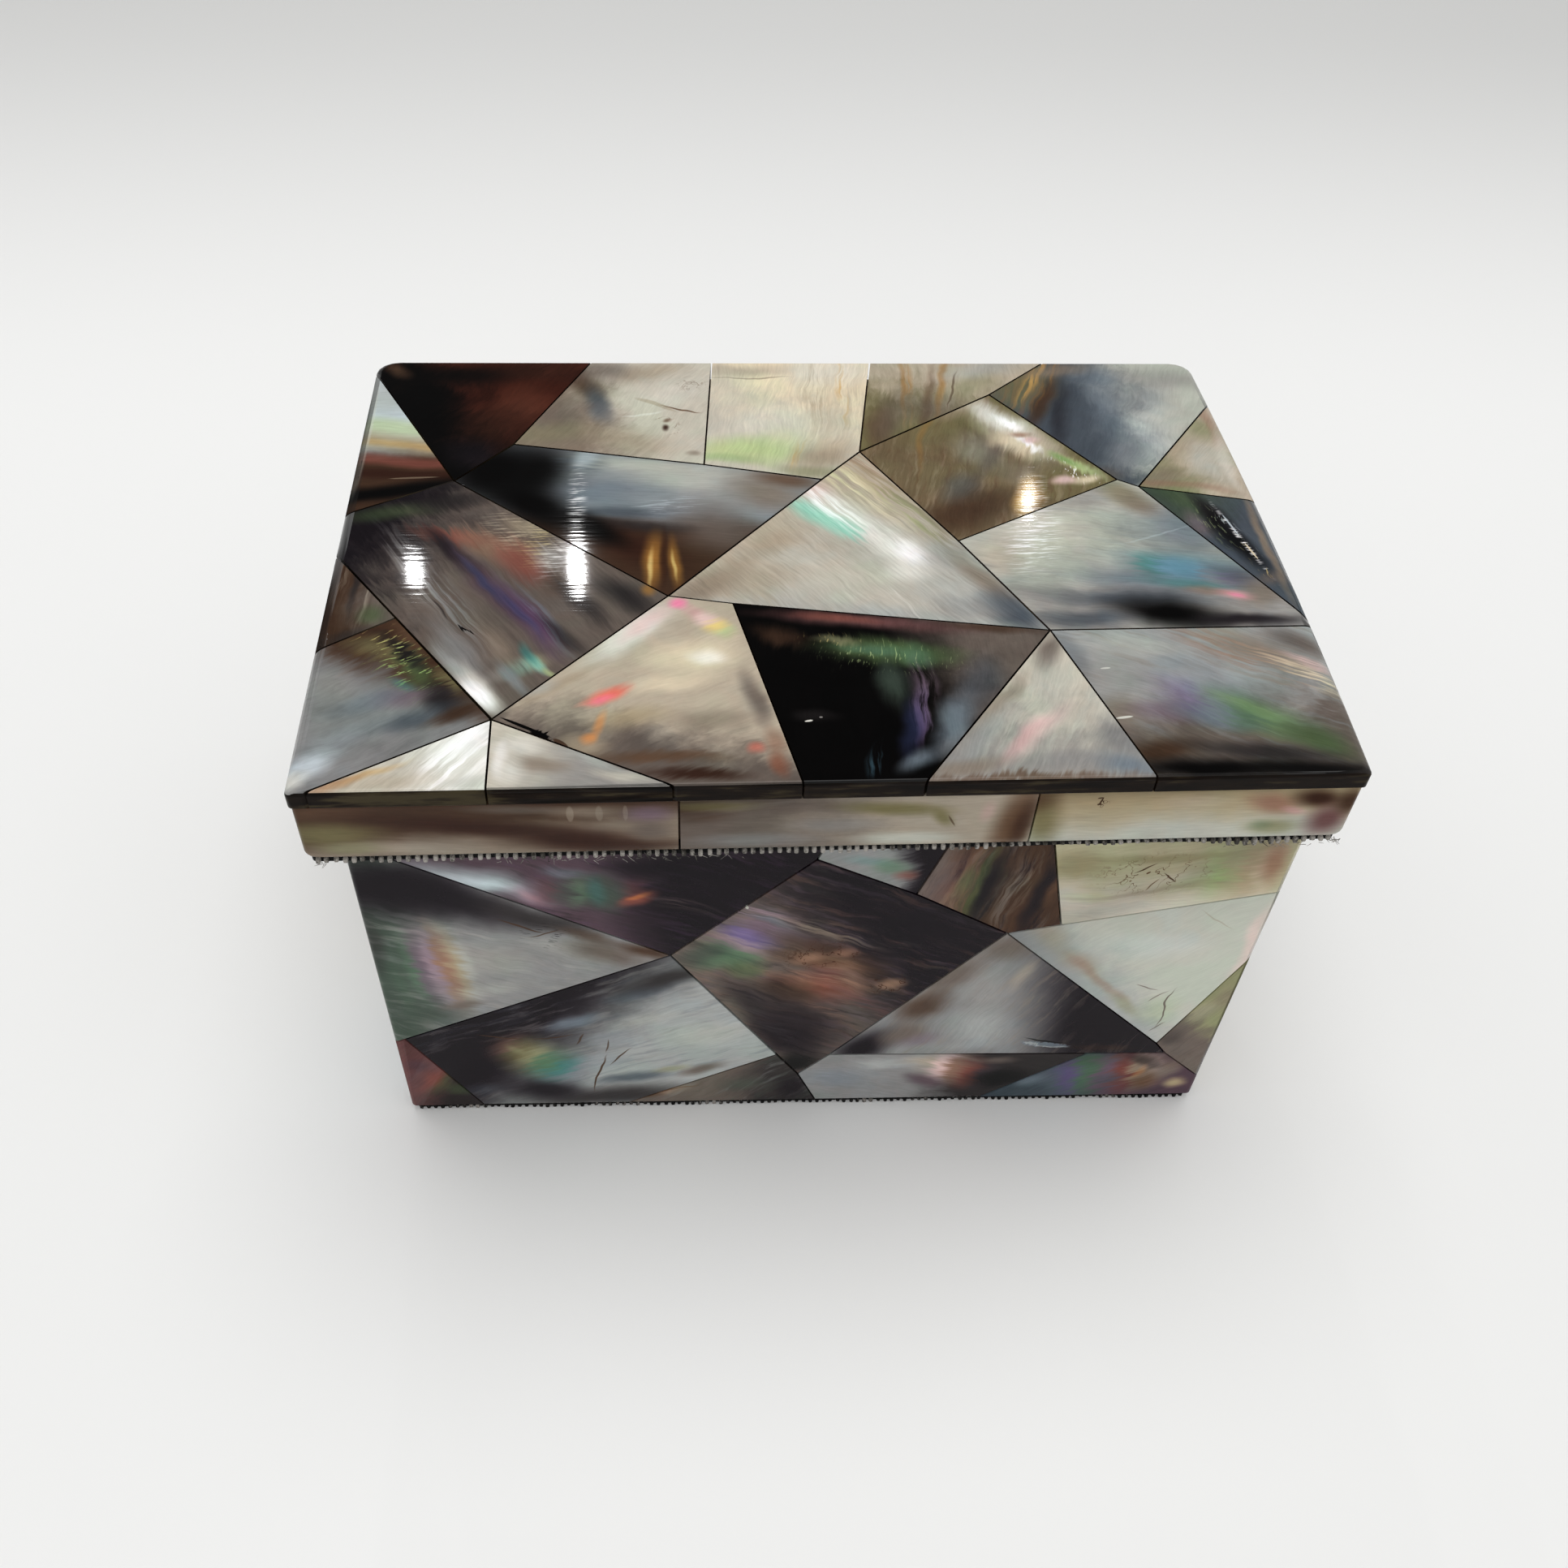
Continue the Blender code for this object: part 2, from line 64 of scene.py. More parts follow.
# Sizes of the object that the looks follow
LID_WIDTH = 150 * MM
LID_DEPTH = 106 * MM
LID_TURN = math.radians(1.2)
LID_TOP = 90.5 * MM
LID_TILES_LOW = 87.2 * MM
LID_BASE = 76.5 * MM
STRIP_INSET = 0.3 * MM
BOX_WIDTH = 142 * MM
BOX_DEPTH = 98 * MM
BOX_TOP = 75 * MM
BOX_BASE = 1.5 * MM
BOX_ASIDE = 1 * MM
WELD = 0.005 * MM

# Camera: place in metres, angles in degrees, focal length for a 36 mm sensor
CAMERA_PLACE = Vector((-0.01893, -0.19100, 0.23928))
CAMERA_DOWN = 47.08
CAMERA_YAW = -4.95
CAMERA_ROLL = 3.42
CAMERA_LENS = 34.27

# How bright white paper would be on each face, and how much pale floor the lacquer mirrors there:
# together they turn a colour as it is seen into the shell's own colour
LID_LIGHT = (1.02, 0.004)
FRONT_LIGHT = (0.74, 0.008)
STRIP_LIGHT = (0.88, 0.006)
SIDE_LIGHT = (0.8, 0.0)
DARKEST = 0.001
PALEST = 1.6

# Colours of the shell, as they look on the object
NACRE = {
    "ink": "100c0b", "night": "1d1a1d", "soot": "2c2929", "cocoa": "33211b", "umber": "3f2e24",
    "bark": "5b4535", "rust": "7c4c3a", "amber": "9a6c35", "honey": "c59a58", "gold": "e2c880",
    "olive": "6d6748", "moss": "47583a", "leaf": "7b9c60", "lime": "b4c48a", "aqua": "94cfba",
    "teal": "3d7672", "sea": "5b8598", "steel": "6a757e", "slate": "464d54", "storm": "82888b",
    "silver": "a5a7a1", "frost": "bac5ca", "milk": "dadad0", "white": "ffffff", "pearl": "c0bbac",
    "oat": "b1a693", "sand": "9a8d77", "taupe": "7d7163", "dusk": "605750", "cream": "dfd2b4",
    "rose": "c49596", "blush": "dabab5", "pink": "ea7fa4", "coral": "e46c5a", "flame": "dc8a48",
    "plum": "553f58", "violet": "6a5a88", "indigo": "363e60", "mauve": "8a7680", "grey": "8f8d88",
    "ash": "7c7d7c", "fog": "969a98", "mist": "afb1a6", "putty": "988f80", "pine": "3f4941",
    "fern": "516f56", "brick": "5f4241", "heather": "6a5a66", "mulberry": "4c3e45", "khaki": "808060",
    "tan": "a09274", "straw": "a09b80", "clay": "8a6a58", "copper": "7a473e", "maroon": "391e18",
    "drab": "6a5c46",
}


def linear(code):
    """Linear colour of a six digit hex code."""
    shares = [int(code[start:start + 2], 16) / 255 for start in (0, 2, 4)]
    return [((share + 0.055) / 1.055) ** 2.4 if share > 0.04045 else share / 12.92 for share in shares]


def paint(colour, light):
    """Own colour, with alpha, of a nacre colour that is seen under this much light and mirrored floor."""
    brightness, mirrored = light
    own = [max(part - mirrored, DARKEST) / brightness for part in linear(NACRE[colour])]
    return tuple(min(part, PALEST) for part in own) + (1.0,)


def tone(colour, light):
    """Square root of the own colour: washes are blended as evenly as the eye sees them."""
    return tuple(math.sqrt(part) for part in paint(colour, light))


class Value:
    """A shader socket that takes part in Python sums."""

    def __init__(self, finish, socket):
        self.finish = finish
        self.socket = socket

    def __add__(self, other):
        return self.finish.sum("ADD", self, other)

    def __radd__(self, other):
        return self.finish.sum("ADD", other, self)

    def __sub__(self, other):
        return self.finish.sum("SUBTRACT", self, other)

    def __mul__(self, other):
        return self.finish.sum("MULTIPLY", self, other)

    def __truediv__(self, other):
        return self.finish.sum("DIVIDE", self, other)


# How far one seed's noise lies from the next, in clouds
SEED_STEP = 3.7


class Finish:
    """One material, built node by node."""

    def __init__(self, name, **plain_values):
        self.material = bpy.data.materials.new(name)
        self.material.use_nodes = True
        self.tree = self.material.node_tree
        self.shader = self.tree.nodes["Principled BSDF"]
        for socket, value in plain_values.items():
            self.shader.inputs[socket.replace("_", " ")].default_value = value
        self.place = self.node("TexCoord", out="Object")

    def node(self, kind, settings=None, inputs=None, out=0):
        made = self.tree.nodes.new("ShaderNode" + kind)
        for key, setting in (settings or {}).items():
            if key == "stops":
                self.set_stops(made.color_ramp, setting)
            else:
                setattr(made, key, setting)
        for key, given in (inputs or {}).items():
            self.give(made.inputs[key], given)
        return Value(self, made.outputs[out])

    def set_stops(self, ramp, stops):
        interpolation, colours = stops
        ramp.interpolation = interpolation
        while len(ramp.elements) < len(colours):
            ramp.elements.new(1.0)
        for element, (position, colour) in zip(ramp.elements, colours):
            element.position = position
            element.color = colour

    def give(self, socket, given):
        if isinstance(given, Value):
            self.tree.links.new(given.socket, socket)
        else:
            socket.default_value = given

    def sum(self, operation, first, second):
        return self.node("Math", {"operation": operation}, {0: first, 1: second})

    def vector(self, operation, *given, out=0):
        """Sum of vectors, given in the order of the node's sockets."""
        return self.node("VectorMath", {"operation": operation}, dict(enumerate(given)), out=out)

    def scale(self, vector, factor):
        return self.node("VectorMath", {"operation": "SCALE"}, {0: vector, 3: factor})

    def parts(self, place):
        """The three coordinates of a place."""
        split = self.tree.nodes.new("ShaderNodeSeparateXYZ")
        self.give(split.inputs[0], place)
        return [Value(self, socket) for socket in split.outputs]

    def ramp(self, value, stops):
        return self.node("ValToRGB", {"stops": stops}, {0: value})

    def clear(self, value, low, high, start=0.0, end=1.0):
        """Smooth step of a value from start at low to end at high."""
        limits = {"Value": value, "From Min": low, "From Max": high, "To Min": start, "To Max": end}
        return self.node("MapRange", {"interpolation_type": "SMOOTHSTEP"}, limits)

    def mix(self, factor, first, second, blend="MIX"):
        settings = {"data_type": "RGBA", "blend_type": blend, "clamp_factor": True}
        return self.node("Mix", settings, {0: factor, 6: first, 7: second}, out=2)

    def noise(self, place, size, seed=0.0, detail=2.0, rough=0.5, out="Fac"):
        """Noise whose clouds are about size across, in the units of place."""
        moved = self.vector("ADD", place, (0, 0, seed * size * SEED_STEP))
        settings = {"Vector": moved, "Scale": 1 / size, "Detail": detail, "Roughness": rough}
        return self.node("TexNoise", None, settings, out=out)

    def stretched(self, place, turn, length, width):
        """The place turned against the grain and squeezed, so that noise on it runs along the grain."""
        inputs = {"Vector": place, "Rotation": (0, 0, math.radians(turn)), "Scale": (length, width, 1)}
        return self.node("Mapping", {"vector_type": "TEXTURE"}, inputs)

    def grained(self, place, turn, length, width, seed, detail, rough):
        """Noise drawn out along the grain, in streaks of about this length and width."""
        return self.noise(self.stretched(place, turn, length, width), 1.0, seed, detail, rough)

    def bump(self, height, depth, normal=None):
        inputs = {"Height": height, "Strength": 1.0, "Distance": depth}
        if normal:
            inputs["Normal"] = normal
        return self.node("Bump", None, inputs)

    def give_colour(self, colour):
        self.give(self.shader.inputs["Base Color"], colour)

    def give_normal(self, normal):
        self.give(self.shader.inputs["Normal"], normal)

    def wear(self, piece):
        piece.data.materials.clear()
        piece.data.materials.append(self.material)


class Chart:
    """Where a point is on one face of the object: millimetres across and up."""

    def __init__(self, turn, shift, across, up):
        self.turn = turn
        self.shift = shift
        self.across = across
        self.up = up

    def read(self, finish):
        """Flat place on the face, in millimetres."""
        mapped = {"Vector": finish.place, "Location": self.shift, "Scale": (1 / MM,) * 3}
        mapped["Rotation"] = (0, 0, self.turn)
        turned = finish.node("Mapping", {"vector_type": "POINT"}, mapped)
        parts = dict(zip("XYZ", finish.parts(turned)))
        sides = {0: self.along(parts, self.across), 1: self.along(parts, self.up)}
        return finish.node("CombineXYZ", None, sides)

    def along(self, parts, rule):
        axis, sign, start = rule
        return parts[axis] * sign + start


HALF_LID = (LID_WIDTH / 2 / MM, LID_DEPTH / 2 / MM, 0)
HALF_BOX = ((BOX_WIDTH / 2 - BOX_ASIDE) / MM, BOX_DEPTH / 2 / MM, 0)
RIM = ("Z", 1, -LID_BASE / MM)
WALL = ("Z", 1, -BOX_BASE / MM)
CHARTS = {
    "lid_top": Chart(-LID_TURN, HALF_LID, ("X", 1, 0), ("Y", 1, 0)),
    "lid_front": Chart(-LID_TURN, HALF_LID, ("X", 1, 0), RIM),
    "lid_back": Chart(-LID_TURN, HALF_LID, ("X", -1, LID_WIDTH / MM), RIM),
    "lid_left": Chart(-LID_TURN, HALF_LID, ("Y", -1, LID_DEPTH / MM), RIM),
    "lid_right": Chart(-LID_TURN, HALF_LID, ("Y", 1, 0), RIM),
    "front": Chart(0, HALF_BOX, ("X", 1, 0), WALL),
    "back": Chart(0, HALF_BOX, ("X", -1, BOX_WIDTH / MM), WALL),
    "left": Chart(0, HALF_BOX, ("Y", -1, BOX_DEPTH / MM), WALL),
    "right": Chart(0, HALF_BOX, ("Y", 1, 0), WALL),
}

# Lacquered shell: even polish, a weak reflection, and fine ripples from the polishing wheel
POLISH = 0.035
LID_SHINE = 0.16
SIDE_SHINE = 0.1
RIPPLE_PITCH = 0.8
RIPPLE_LENGTH = 14.0
RIPPLE_DEPTH = 0.006 * MM
SWELL_PITCH = 6.0
SWELL_DEPTH = 0.003 * MM
# Pattern of the shell, in millimetres: the size of its clouds, and the length and width of its streaks
DRIFT_CLOUDS = 13.0
PATCH_CLOUDS = 6.0
TINT_CLOUDS = 11.0
VEIN_CLOUDS = 4.0
GLOW_STREAKS = (9.0, 1.5)
FINE_STREAKS = (4.0, 0.35)
FLECK_STREAKS = (2.2, 0.35)
RIPPLE_STREAKS = (4.5, 0.34)
RIPPLE_TURN = 3
WHITE = (1, 1, 1, 1)
TINTS = ("LINEAR", [(0.36, (0.93, 1.06, 0.98, 1)), (0.46, WHITE), (0.55, (1.07, 0.965, 0.98, 1)),
                    (0.66, (0.95, 0.99, 1.08, 1))])

# What a recipe has where it says nothing else
USUAL = dict(seed=1, grain=0, length=14.0, pitch=1.0, feather=9.0, drift=5.0, marble=2.2, contrast=0.9,
             patchy=0.55, fine=0.4, orient=0.5, glow=(), washes=())

# Kinds of wash: the place that each follows, and where its edge starts and ends, as shares of its reach
WASH_KINDS = {
    "plain": ("drifted", 0.2, 1.7), "rainbow": ("drifted", 0.2, 1.7), "veins": ("drifted", 0.2, 1.7),
    "line": ("drifted", 0.5, 1.0), "ragged": ("ragged", 0.2, 1.7), "streak": ("ragged", 0.2, 1.7),
    "flecks": ("ragged", 0.2, 1.7), "patch": ("ragged", 0.72, 1.0), "ripples": ("flat", 0.2, 1.7),
    "exact": ("flat", 0.7, 1.0),
}


def polish_ripples(finish, flat, under=None):
    """Fine ripples that the polishing wheel left, over any swell under them."""
    ripple = finish.grained(flat, 0, RIPPLE_LENGTH, RIPPLE_PITCH, 3, 2.0, 0.5)
    finish.give_normal(finish.bump(ripple, RIPPLE_DEPTH, under))


class Shell:
    """Mother-of-pearl of one tile: a clouded ground, washes of colour laid over it, and fine growth lines."""

    def __init__(self, name, chart, light, recipe):
        shine = LID_SHINE if chart == "lid_top" else SIDE_SHINE
        self.finish = Finish(name, Roughness=POLISH, Specular_IOR_Level=shine)
        self.light = light
        self.recipe = {**USUAL, **recipe}
        self.seed = self.recipe["seed"]
        self.grain = self.recipe["grain"]
        self.find_places(CHARTS[chart].read(self.finish))

    def find_places(self, flat):
        """The flat place, the same bent by clouds, and the bent one frayed along the growth lines."""
        finish = self.finish
        drift = self.recipe["drift"]
        cloud = finish.noise(flat, DRIFT_CLOUDS, self.seed, 3.0, 0.5, out="Color")
        centred = finish.vector("ADD", flat, (-drift / 2, -drift / 2, 0))
        drifted = finish.vector("MULTIPLY_ADD", cloud, (drift, drift, 0), centred)
        streaks = (self.recipe["length"], self.recipe["pitch"])
        self.streak = finish.grained(drifted, self.grain, *streaks, self.seed + 1, 5.0, 0.62)
        along = (math.cos(math.radians(self.grain)), math.sin(math.radians(self.grain)), 0)
        feather = finish.scale(along, (self.streak - 0.5) * self.recipe["feather"])
        ragged = finish.vector("ADD", drifted, feather)
        self.places = {"flat": flat, "drifted": drifted, "ragged": ragged}
        self.patchy = finish.noise(ragged, PATCH_CLOUDS, self.seed + 2, 5.0, 0.62)

    def ground(self):
        """Two colours that meet along a marbled line, with bands of sheen over them."""
        finish = self.finish
        first, second, turn, middle, spread = self.recipe["ground"]
        rise = finish.parts(finish.stretched(self.places["ragged"], turn, 1, 1))[0]
        heading = math.cos(math.radians(turn)) * middle[0] + math.sin(math.radians(turn)) * middle[1]
        marbled = rise + (self.patchy - 0.5) * (self.recipe["marble"] * spread)
        share = finish.clear(marbled, heading - spread, heading + spread)
        colour = finish.mix(share, tone(first, self.light), tone(second, self.light))
        for step, (sheen, strength) in enumerate(self.recipe["glow"]):
            seed = self.seed + 20 + 3 * step
            bands = finish.grained(self.places["drifted"], self.grain, *GLOW_STREAKS, seed, 4.0, 0.6)
            colour = finish.mix(finish.clear(bands, 0.5, 0.68, 0, strength), colour, tone(sheen, self.light))
        return colour

    def broken(self, kind):
        """What breaks up a wash of this kind: growth lines, cracks, ripples or flecks."""
        finish = self.finish
        drifted = self.places["drifted"]
        if kind == "streak":
            return finish.clear(self.streak, 0.42, 0.6)
        if kind == "veins":
            curl = finish.noise(drifted, VEIN_CLOUDS, self.seed + 5, 3.0, 0.6)
            line = finish.node("Math", {"operation": "ABSOLUTE"}, {0: curl - 0.5})
            return finish.clear(line, 0.004, 0.014, 1, 0)
        # Ripples carry painted lamp reflections: bright strokes that break along the polishing marks.
        if kind == "ripples":
            band = finish.grained(self.places["flat"], RIPPLE_TURN, *RIPPLE_STREAKS, self.seed + 7, 3.0, 0.6)
            return finish.clear(band, 0.5, 0.6)
        if kind == "flecks":
            fleck = finish.grained(drifted, self.grain, *FLECK_STREAKS, self.seed + 6, 2.0, 0.6)
            return finish.clear(fleck, 0.6, 0.66)
        return None

    def rainbow(self, names, spot):
        """The iridescent play of colours: the named colours follow one another along the wash."""
        colours = [tone(name, self.light) for name in names.split()]
        stops = [(index / (len(colours) - 1), colour) for index, colour in enumerate(colours)]
        along = self.finish.parts(spot)[0] * 0.36 + 0.5 + (self.streak - 0.5) * 0.35
        return self.finish.ramp(along, ("EASE", stops))

    def wash(self, colour, kind, named, across, up, length, width, turn, strength):
        """Lays one wash over the colour."""
        finish = self.finish
        place, start, end = WASH_KINDS[kind]
        inputs = {"Vector": self.places[place], "Location": (across, up, 0),
                  "Rotation": (0, 0, math.radians(turn)), "Scale": (length, width, 1)}
        spot = finish.node("Mapping", {"vector_type": "TEXTURE"}, inputs)
        mask = finish.clear(finish.vector("LENGTH", spot, out="Value"), start, end, strength, 0.0)
        broken = self.broken(kind)
        if broken:
            mask = mask * broken
        hue = self.rainbow(named, spot) if kind == "rainbow" else tone(named, self.light)
        return finish.mix(mask, colour, hue)

    def shade(self, colour):
        """Growth lines, patches and a faint play of tints over the colour."""
        finish = self.finish
        recipe = self.recipe
        drifted = self.places["drifted"]
        fine = finish.grained(drifted, self.grain, *FINE_STREAKS, self.seed + 3, 3.0, 0.6)
        shade = 1.0 + (self.streak - 0.5) * recipe["contrast"] + (self.patchy - 0.5) * recipe["patchy"]
        shade = shade + (fine - 0.5) * recipe["fine"]
        tint = finish.ramp(finish.noise(drifted, TINT_CLOUDS, self.seed + 4, 3.0, 0.55), TINTS)
        shown = finish.mix(recipe["orient"], WHITE, tint)
        return finish.mix(1.0, finish.scale(colour, shade), shown, "MULTIPLY")

    def polish(self):
        flat = self.places["flat"]
        swell = self.finish.grained(flat, 0, 2.5 * SWELL_PITCH, SWELL_PITCH, self.seed + 8, 1.0, 0.5)
        polish_ripples(self.finish, flat, self.finish.bump(swell, SWELL_DEPTH))


def shell_finish(name, chart, light, recipe):
    """Finish of one tile or strip. Its washes are blended as square roots, and squared at the end."""
    shell = Shell(name, chart, light, recipe)
    colour = shell.ground()
    for wash in shell.recipe["washes"]:
        colour = shell.wash(colour, *wash)
    shell.finish.give_colour(shell.shade(shell.finish.vector("MULTIPLY", colour, colour)))
    shell.polish()
    return shell.finish


# Each recipe is in millimetres and degrees. Its ground is two colours, the direction from one to the
# other, a point where they meet and how soft the change is. A wash is a kind, colour, across, up,
# length, width, turn and strength. Other keys: length and pitch of the growth lines; contrast, patchy
# and fine for how strong the lines, the patches and the fine lines are; feather and drift for how far
# edges fray and wander; marble for how far the two colours of the ground mingle; glow for bands of
# sheen; orient for the strength of the tints. Kinds of wash: plain has a soft edge, ragged one that
# frays along the growth lines, line and patch a firm one, and exact a firm one that doesn't wander.
# Streak, veins, ripples and flecks are broken up by growth lines, cracks, polishing marks and spots. Ripples
# paint lamp reflections, whose bright strokes break along the polishing marks. The colours of a rainbow
# follow one another along it.
LID_RECIPES = {
    1: dict(
        slot="shell_pearl", seed=1, grain=0, feather=3, contrast=0.2, patchy=0.3, drift=3, orient=0.2,
        marble=0.8, ground=("umber", "frost", 92, (5, 78.5), 3.4),
        washes=(
            ("plain", "silver", 3, 94, 5, 5, 0, 0.6), ("plain", "lime", 3, 85, 40, 2.3, -8, 0.6),
            ("plain", "tan", 6, 80.6, 40, 2.2, -10, 0.85), ("plain", "honey", 7, 80, 12, 0.9, -10, 0.4),
            ("plain", "copper", 9, 75.2, 40, 1.5, -8, 0.75), ("plain", "cocoa", 8, 71.6, 40, 1.3, -5, 1.0),
            ("plain", "ink", 8, 66.8, 40, 2.1, 10, 1.0), ("exact", "sand", 10, 70.5, 4.6, 0.25, 3, 0.5),
            # The mist line along the left edge, at across 0.6, is a painted highlight: the light band that the
            # rounded left arris catches.
            ("plain", "umber", 2, 61.5, 4, 2, 30, 0.7), ("exact", "mist", 0.6, 84, 1.1, 22, 0, 0.4),
        )),
    2: dict(
        slot="shell_night", seed=2, grain=60, feather=6, contrast=0.6, patchy=1.2, orient=0.2,
        ground=("ink", "maroon", 30, (17, 92), 9),
        washes=(
            ("plain", "maroon", 27, 91, 8, 9, 60, 0.8), ("plain", "cocoa", 23, 86, 6, 7, 60, 0.6),
            ("plain", "rust", 27, 92, 4, 5, 60, 0.25), ("plain", "ink", 9, 94, 5, 9, 15, 0.95),
            ("plain", "bark", 4, 102.6, 3, 1.6, -40, 0.6), ("plain", "ink", 17, 101, 9, 3, 0, 0.8),
            ("plain", "night", 19, 77, 4, 5, 60, 0.8), ("plain", "cocoa", 30, 102, 7, 3, 0, 0.5),
        )),
    3: dict(
        slot="shell_sand", seed=3, grain=60, feather=4, contrast=0.25, patchy=0.5, fine=0.35, orient=0.35,
        ground=("taupe", "pearl", 15, (41, 88), 7),
        washes=(
            ("plain", "umber", 36.5, 98.5, 5.5, 2.4, -62, 0.75),
            ("plain", "slate", 39.5, 92, 5.5, 1.8, -72, 0.8), ("plain", "dusk", 33, 89, 5, 4, 60, 0.6),
            ("plain", "khaki", 31, 83.5, 7, 3, 10, 0.4), ("plain", "dusk", 40, 102.5, 8, 3, -10, 0.7),
            ("plain", "sand", 49, 102, 6, 2.4, 30, 0.6), ("plain", "milk", 54, 95.5, 7, 3.4, 20, 0.3),
            ("plain", "pearl", 47, 96, 6, 3, 40, 0.4), ("plain", "sand", 45, 81, 8, 3.4, -20, 0.6),
            ("line", "milk", 47.5, 89.2, 5, 0.4, 14, 0.5), ("line", "bark", 54.6, 90.4, 5, 0.25, -18, 0.8),
            ("line", "sand", 50, 92, 5, 0.6, -30, 0.5), ("veins", "bark", 51.5, 85.8, 1.8, 2.8, 20, 1.0),
            ("plain", "cocoa", 51.2, 84.7, 0.6, 0.9, 10, 0.9),
            ("plain", "bark", 51.6, 87.2, 0.8, 0.6, 30, 0.7), ("veins", "taupe", 56.5, 98, 2, 2, 0, 0.6),
            ("plain", "taupe", 56.5, 76.6, 1, 0.7, 0, 0.6),
        )),
    4: dict(
        slot="shell_pearl", seed=4, grain=80, feather=7, contrast=0.3, pitch=0.9, patchy=0.3, fine=0.45,
        orient=0.35, ground=("pearl", "cream", 60, (72, 90), 14),
        washes=(
            ("plain", "oat", 63, 103.5, 12, 1.8, 2, 0.85), ("line", "taupe", 66, 101.2, 10, 0.3, 3, 0.5),
            ("plain", "milk", 82, 103, 8, 4, 0, 0.6), ("streak", "sand", 79, 96, 14, 2.2, 84, 0.6),
            ("streak", "oat", 84, 92, 14, 3, 84, 0.6), ("streak", "honey", 83.5, 98, 9, 0.7, 85, 0.6),
            ("plain", "milk", 70, 86, 8, 5, 20, 0.35), ("plain", "lime", 64, 78, 8, 3.4, -6, 0.85),
            ("plain", "lime", 71, 78.5, 5, 4, 60, 0.5), ("streak", "honey", 74.5, 78, 4, 0.9, 78, 0.5),
            ("plain", "sand", 78.5, 76, 5, 4, 40, 0.8), ("plain", "khaki", 76.5, 71.6, 5, 1.4, -14, 0.6),
            ("plain", "leaf", 62, 75.5, 6, 1.2, -10, 0.35), ("plain", "pearl", 62, 95, 4, 8, 0, 0.5),
        )),
    5: dict(
        slot="shell_sand", seed=5, grain=83, feather=8, contrast=0.35, pitch=1.2, patchy=0.5, orient=0.25,
        ground=("olive", "oat", 70, (100, 94), 11),
        washes=(
            ("streak", "amber", 95.5, 98, 12, 0.8, 86, 0.55),
            ("plain", "amber", 94.8, 99, 9, 0.45, 86, 0.55),
            ("plain", "amber", 101.5, 98, 11, 0.6, 80, 0.6), ("plain", "bark", 98.5, 92, 11, 0.9, 80, 0.6),
            ("plain", "bark", 89, 84, 7, 2.4, 74, 0.7), ("plain", "dusk", 92, 88, 8, 3, 70, 0.5),
            ("plain", "oat", 91, 103, 4, 3, 0, 0.6), ("plain", "silver", 110, 104, 7, 2.4, 20, 0.7),
            ("plain", "khaki", 107, 98, 6, 3, 30, 0.5), ("plain", "dusk", 100, 90, 5, 4, 30, 0.5),
            ("line", "umber", 103.4, 97, 7, 0.3, 78, 0.5),
        )),
    6: dict(
        slot="shell_smoke", seed=6, grain=70, feather=5, contrast=0.25, patchy=0.5, fine=0.35, orient=0.3,
        ground=("slate", "mist", 2, (134, 86), 9),
        washes=(
            ("streak", "copper", 117, 99, 12, 4, 60, 0.6), ("plain", "olive", 116, 98, 8, 6, 50, 0.75),
            ("streak", "honey", 119.5, 101.5, 10, 1.0, 62, 0.7),
            ("plain", "umber", 119.4, 92, 8, 1.6, 66, 0.85),
            ("streak", "amber", 122.5, 101, 9, 0.8, 64, 0.6), ("plain", "taupe", 125, 103, 6, 2, 10, 0.8),
            ("plain", "night", 122.5, 89, 9, 1.6, 76, 0.6),
            ("plain", "slate", 125.5, 85, 14, 3.2, 84, 0.8), ("plain", "steel", 131, 90, 12, 3.2, 84, 0.7),
            ("plain", "steel", 132, 101, 5, 3, 0, 0.6), ("plain", "frost", 137.5, 84, 9, 4, 70, 0.45),
            ("plain", "mist", 142, 90, 7, 4, 60, 0.6), ("plain", "storm", 138, 95, 7, 4, 40, 0.5),
            ("plain", "grey", 144, 101, 7, 3, -10, 0.7), ("plain", "dusk", 127, 71, 2.5, 2, 0, 0.6),
            ("plain", "storm", 131.5, 77, 4, 3, 60, 0.6),
        )),
    7: dict(
        slot="shell_sand", seed=7, grain=60, feather=4, contrast=0.25, patchy=0.4, orient=0.4,
        ground=("khaki", "oat", 20, (140, 73), 5),
        washes=(
            ("plain", "taupe", 136, 70, 4, 3, 20, 0.7), ("plain", "sand", 141, 80, 5, 4, 40, 0.5),
            ("plain", "mist", 145.5, 75, 3, 6, 0, 0.7), ("plain", "khaki", 146, 85, 2.6, 4, 20, 0.7),
            ("plain", "clay", 148.4, 84, 1, 8, 2, 0.6), ("plain", "milk", 148.6, 76, 1, 9, 0, 0.5),
            ("plain", "clay", 139, 67.4, 8, 1, -12, 0.5),
        )),
    8: dict(
        slot="shell_smoke", seed=8, grain=-4, feather=3, contrast=0.2, pitch=0.6, length=12, patchy=0.3,
        fine=0.4, drift=2.5, orient=0.3, marble=0.7, ground=("umber", "storm", 84, (50, 58.5), 3),
        washes=(
            ("plain", "mist", 52, 73, 14, 2.2, -9, 0.95), ("plain", "silver", 57, 68.6, 7, 3.4, -6, 0.85),
            ("plain", "steel", 44, 66, 10, 3.2, -3, 0.85), ("plain", "slate", 43, 61, 9, 1.6, 0, 0.8),
            ("plain", "grey", 60, 64, 6, 3, -20, 0.6), ("plain", "mist", 53, 70, 9, 2.6, -6, 0.6),
            ("plain", "fog", 50, 65, 7, 2.4, -6, 0.45), ("plain", "taupe", 68, 66, 6, 4, -30, 0.8),
            ("plain", "bark", 72, 69.4, 5, 1.8, -14, 0.8), ("plain", "dusk", 60, 56, 7, 5, -35, 0.9),
            ("plain", "soot", 45, 57.4, 9, 1.6, -6, 0.8), ("plain", "cocoa", 46, 52, 9, 3.4, -35, 0.9),
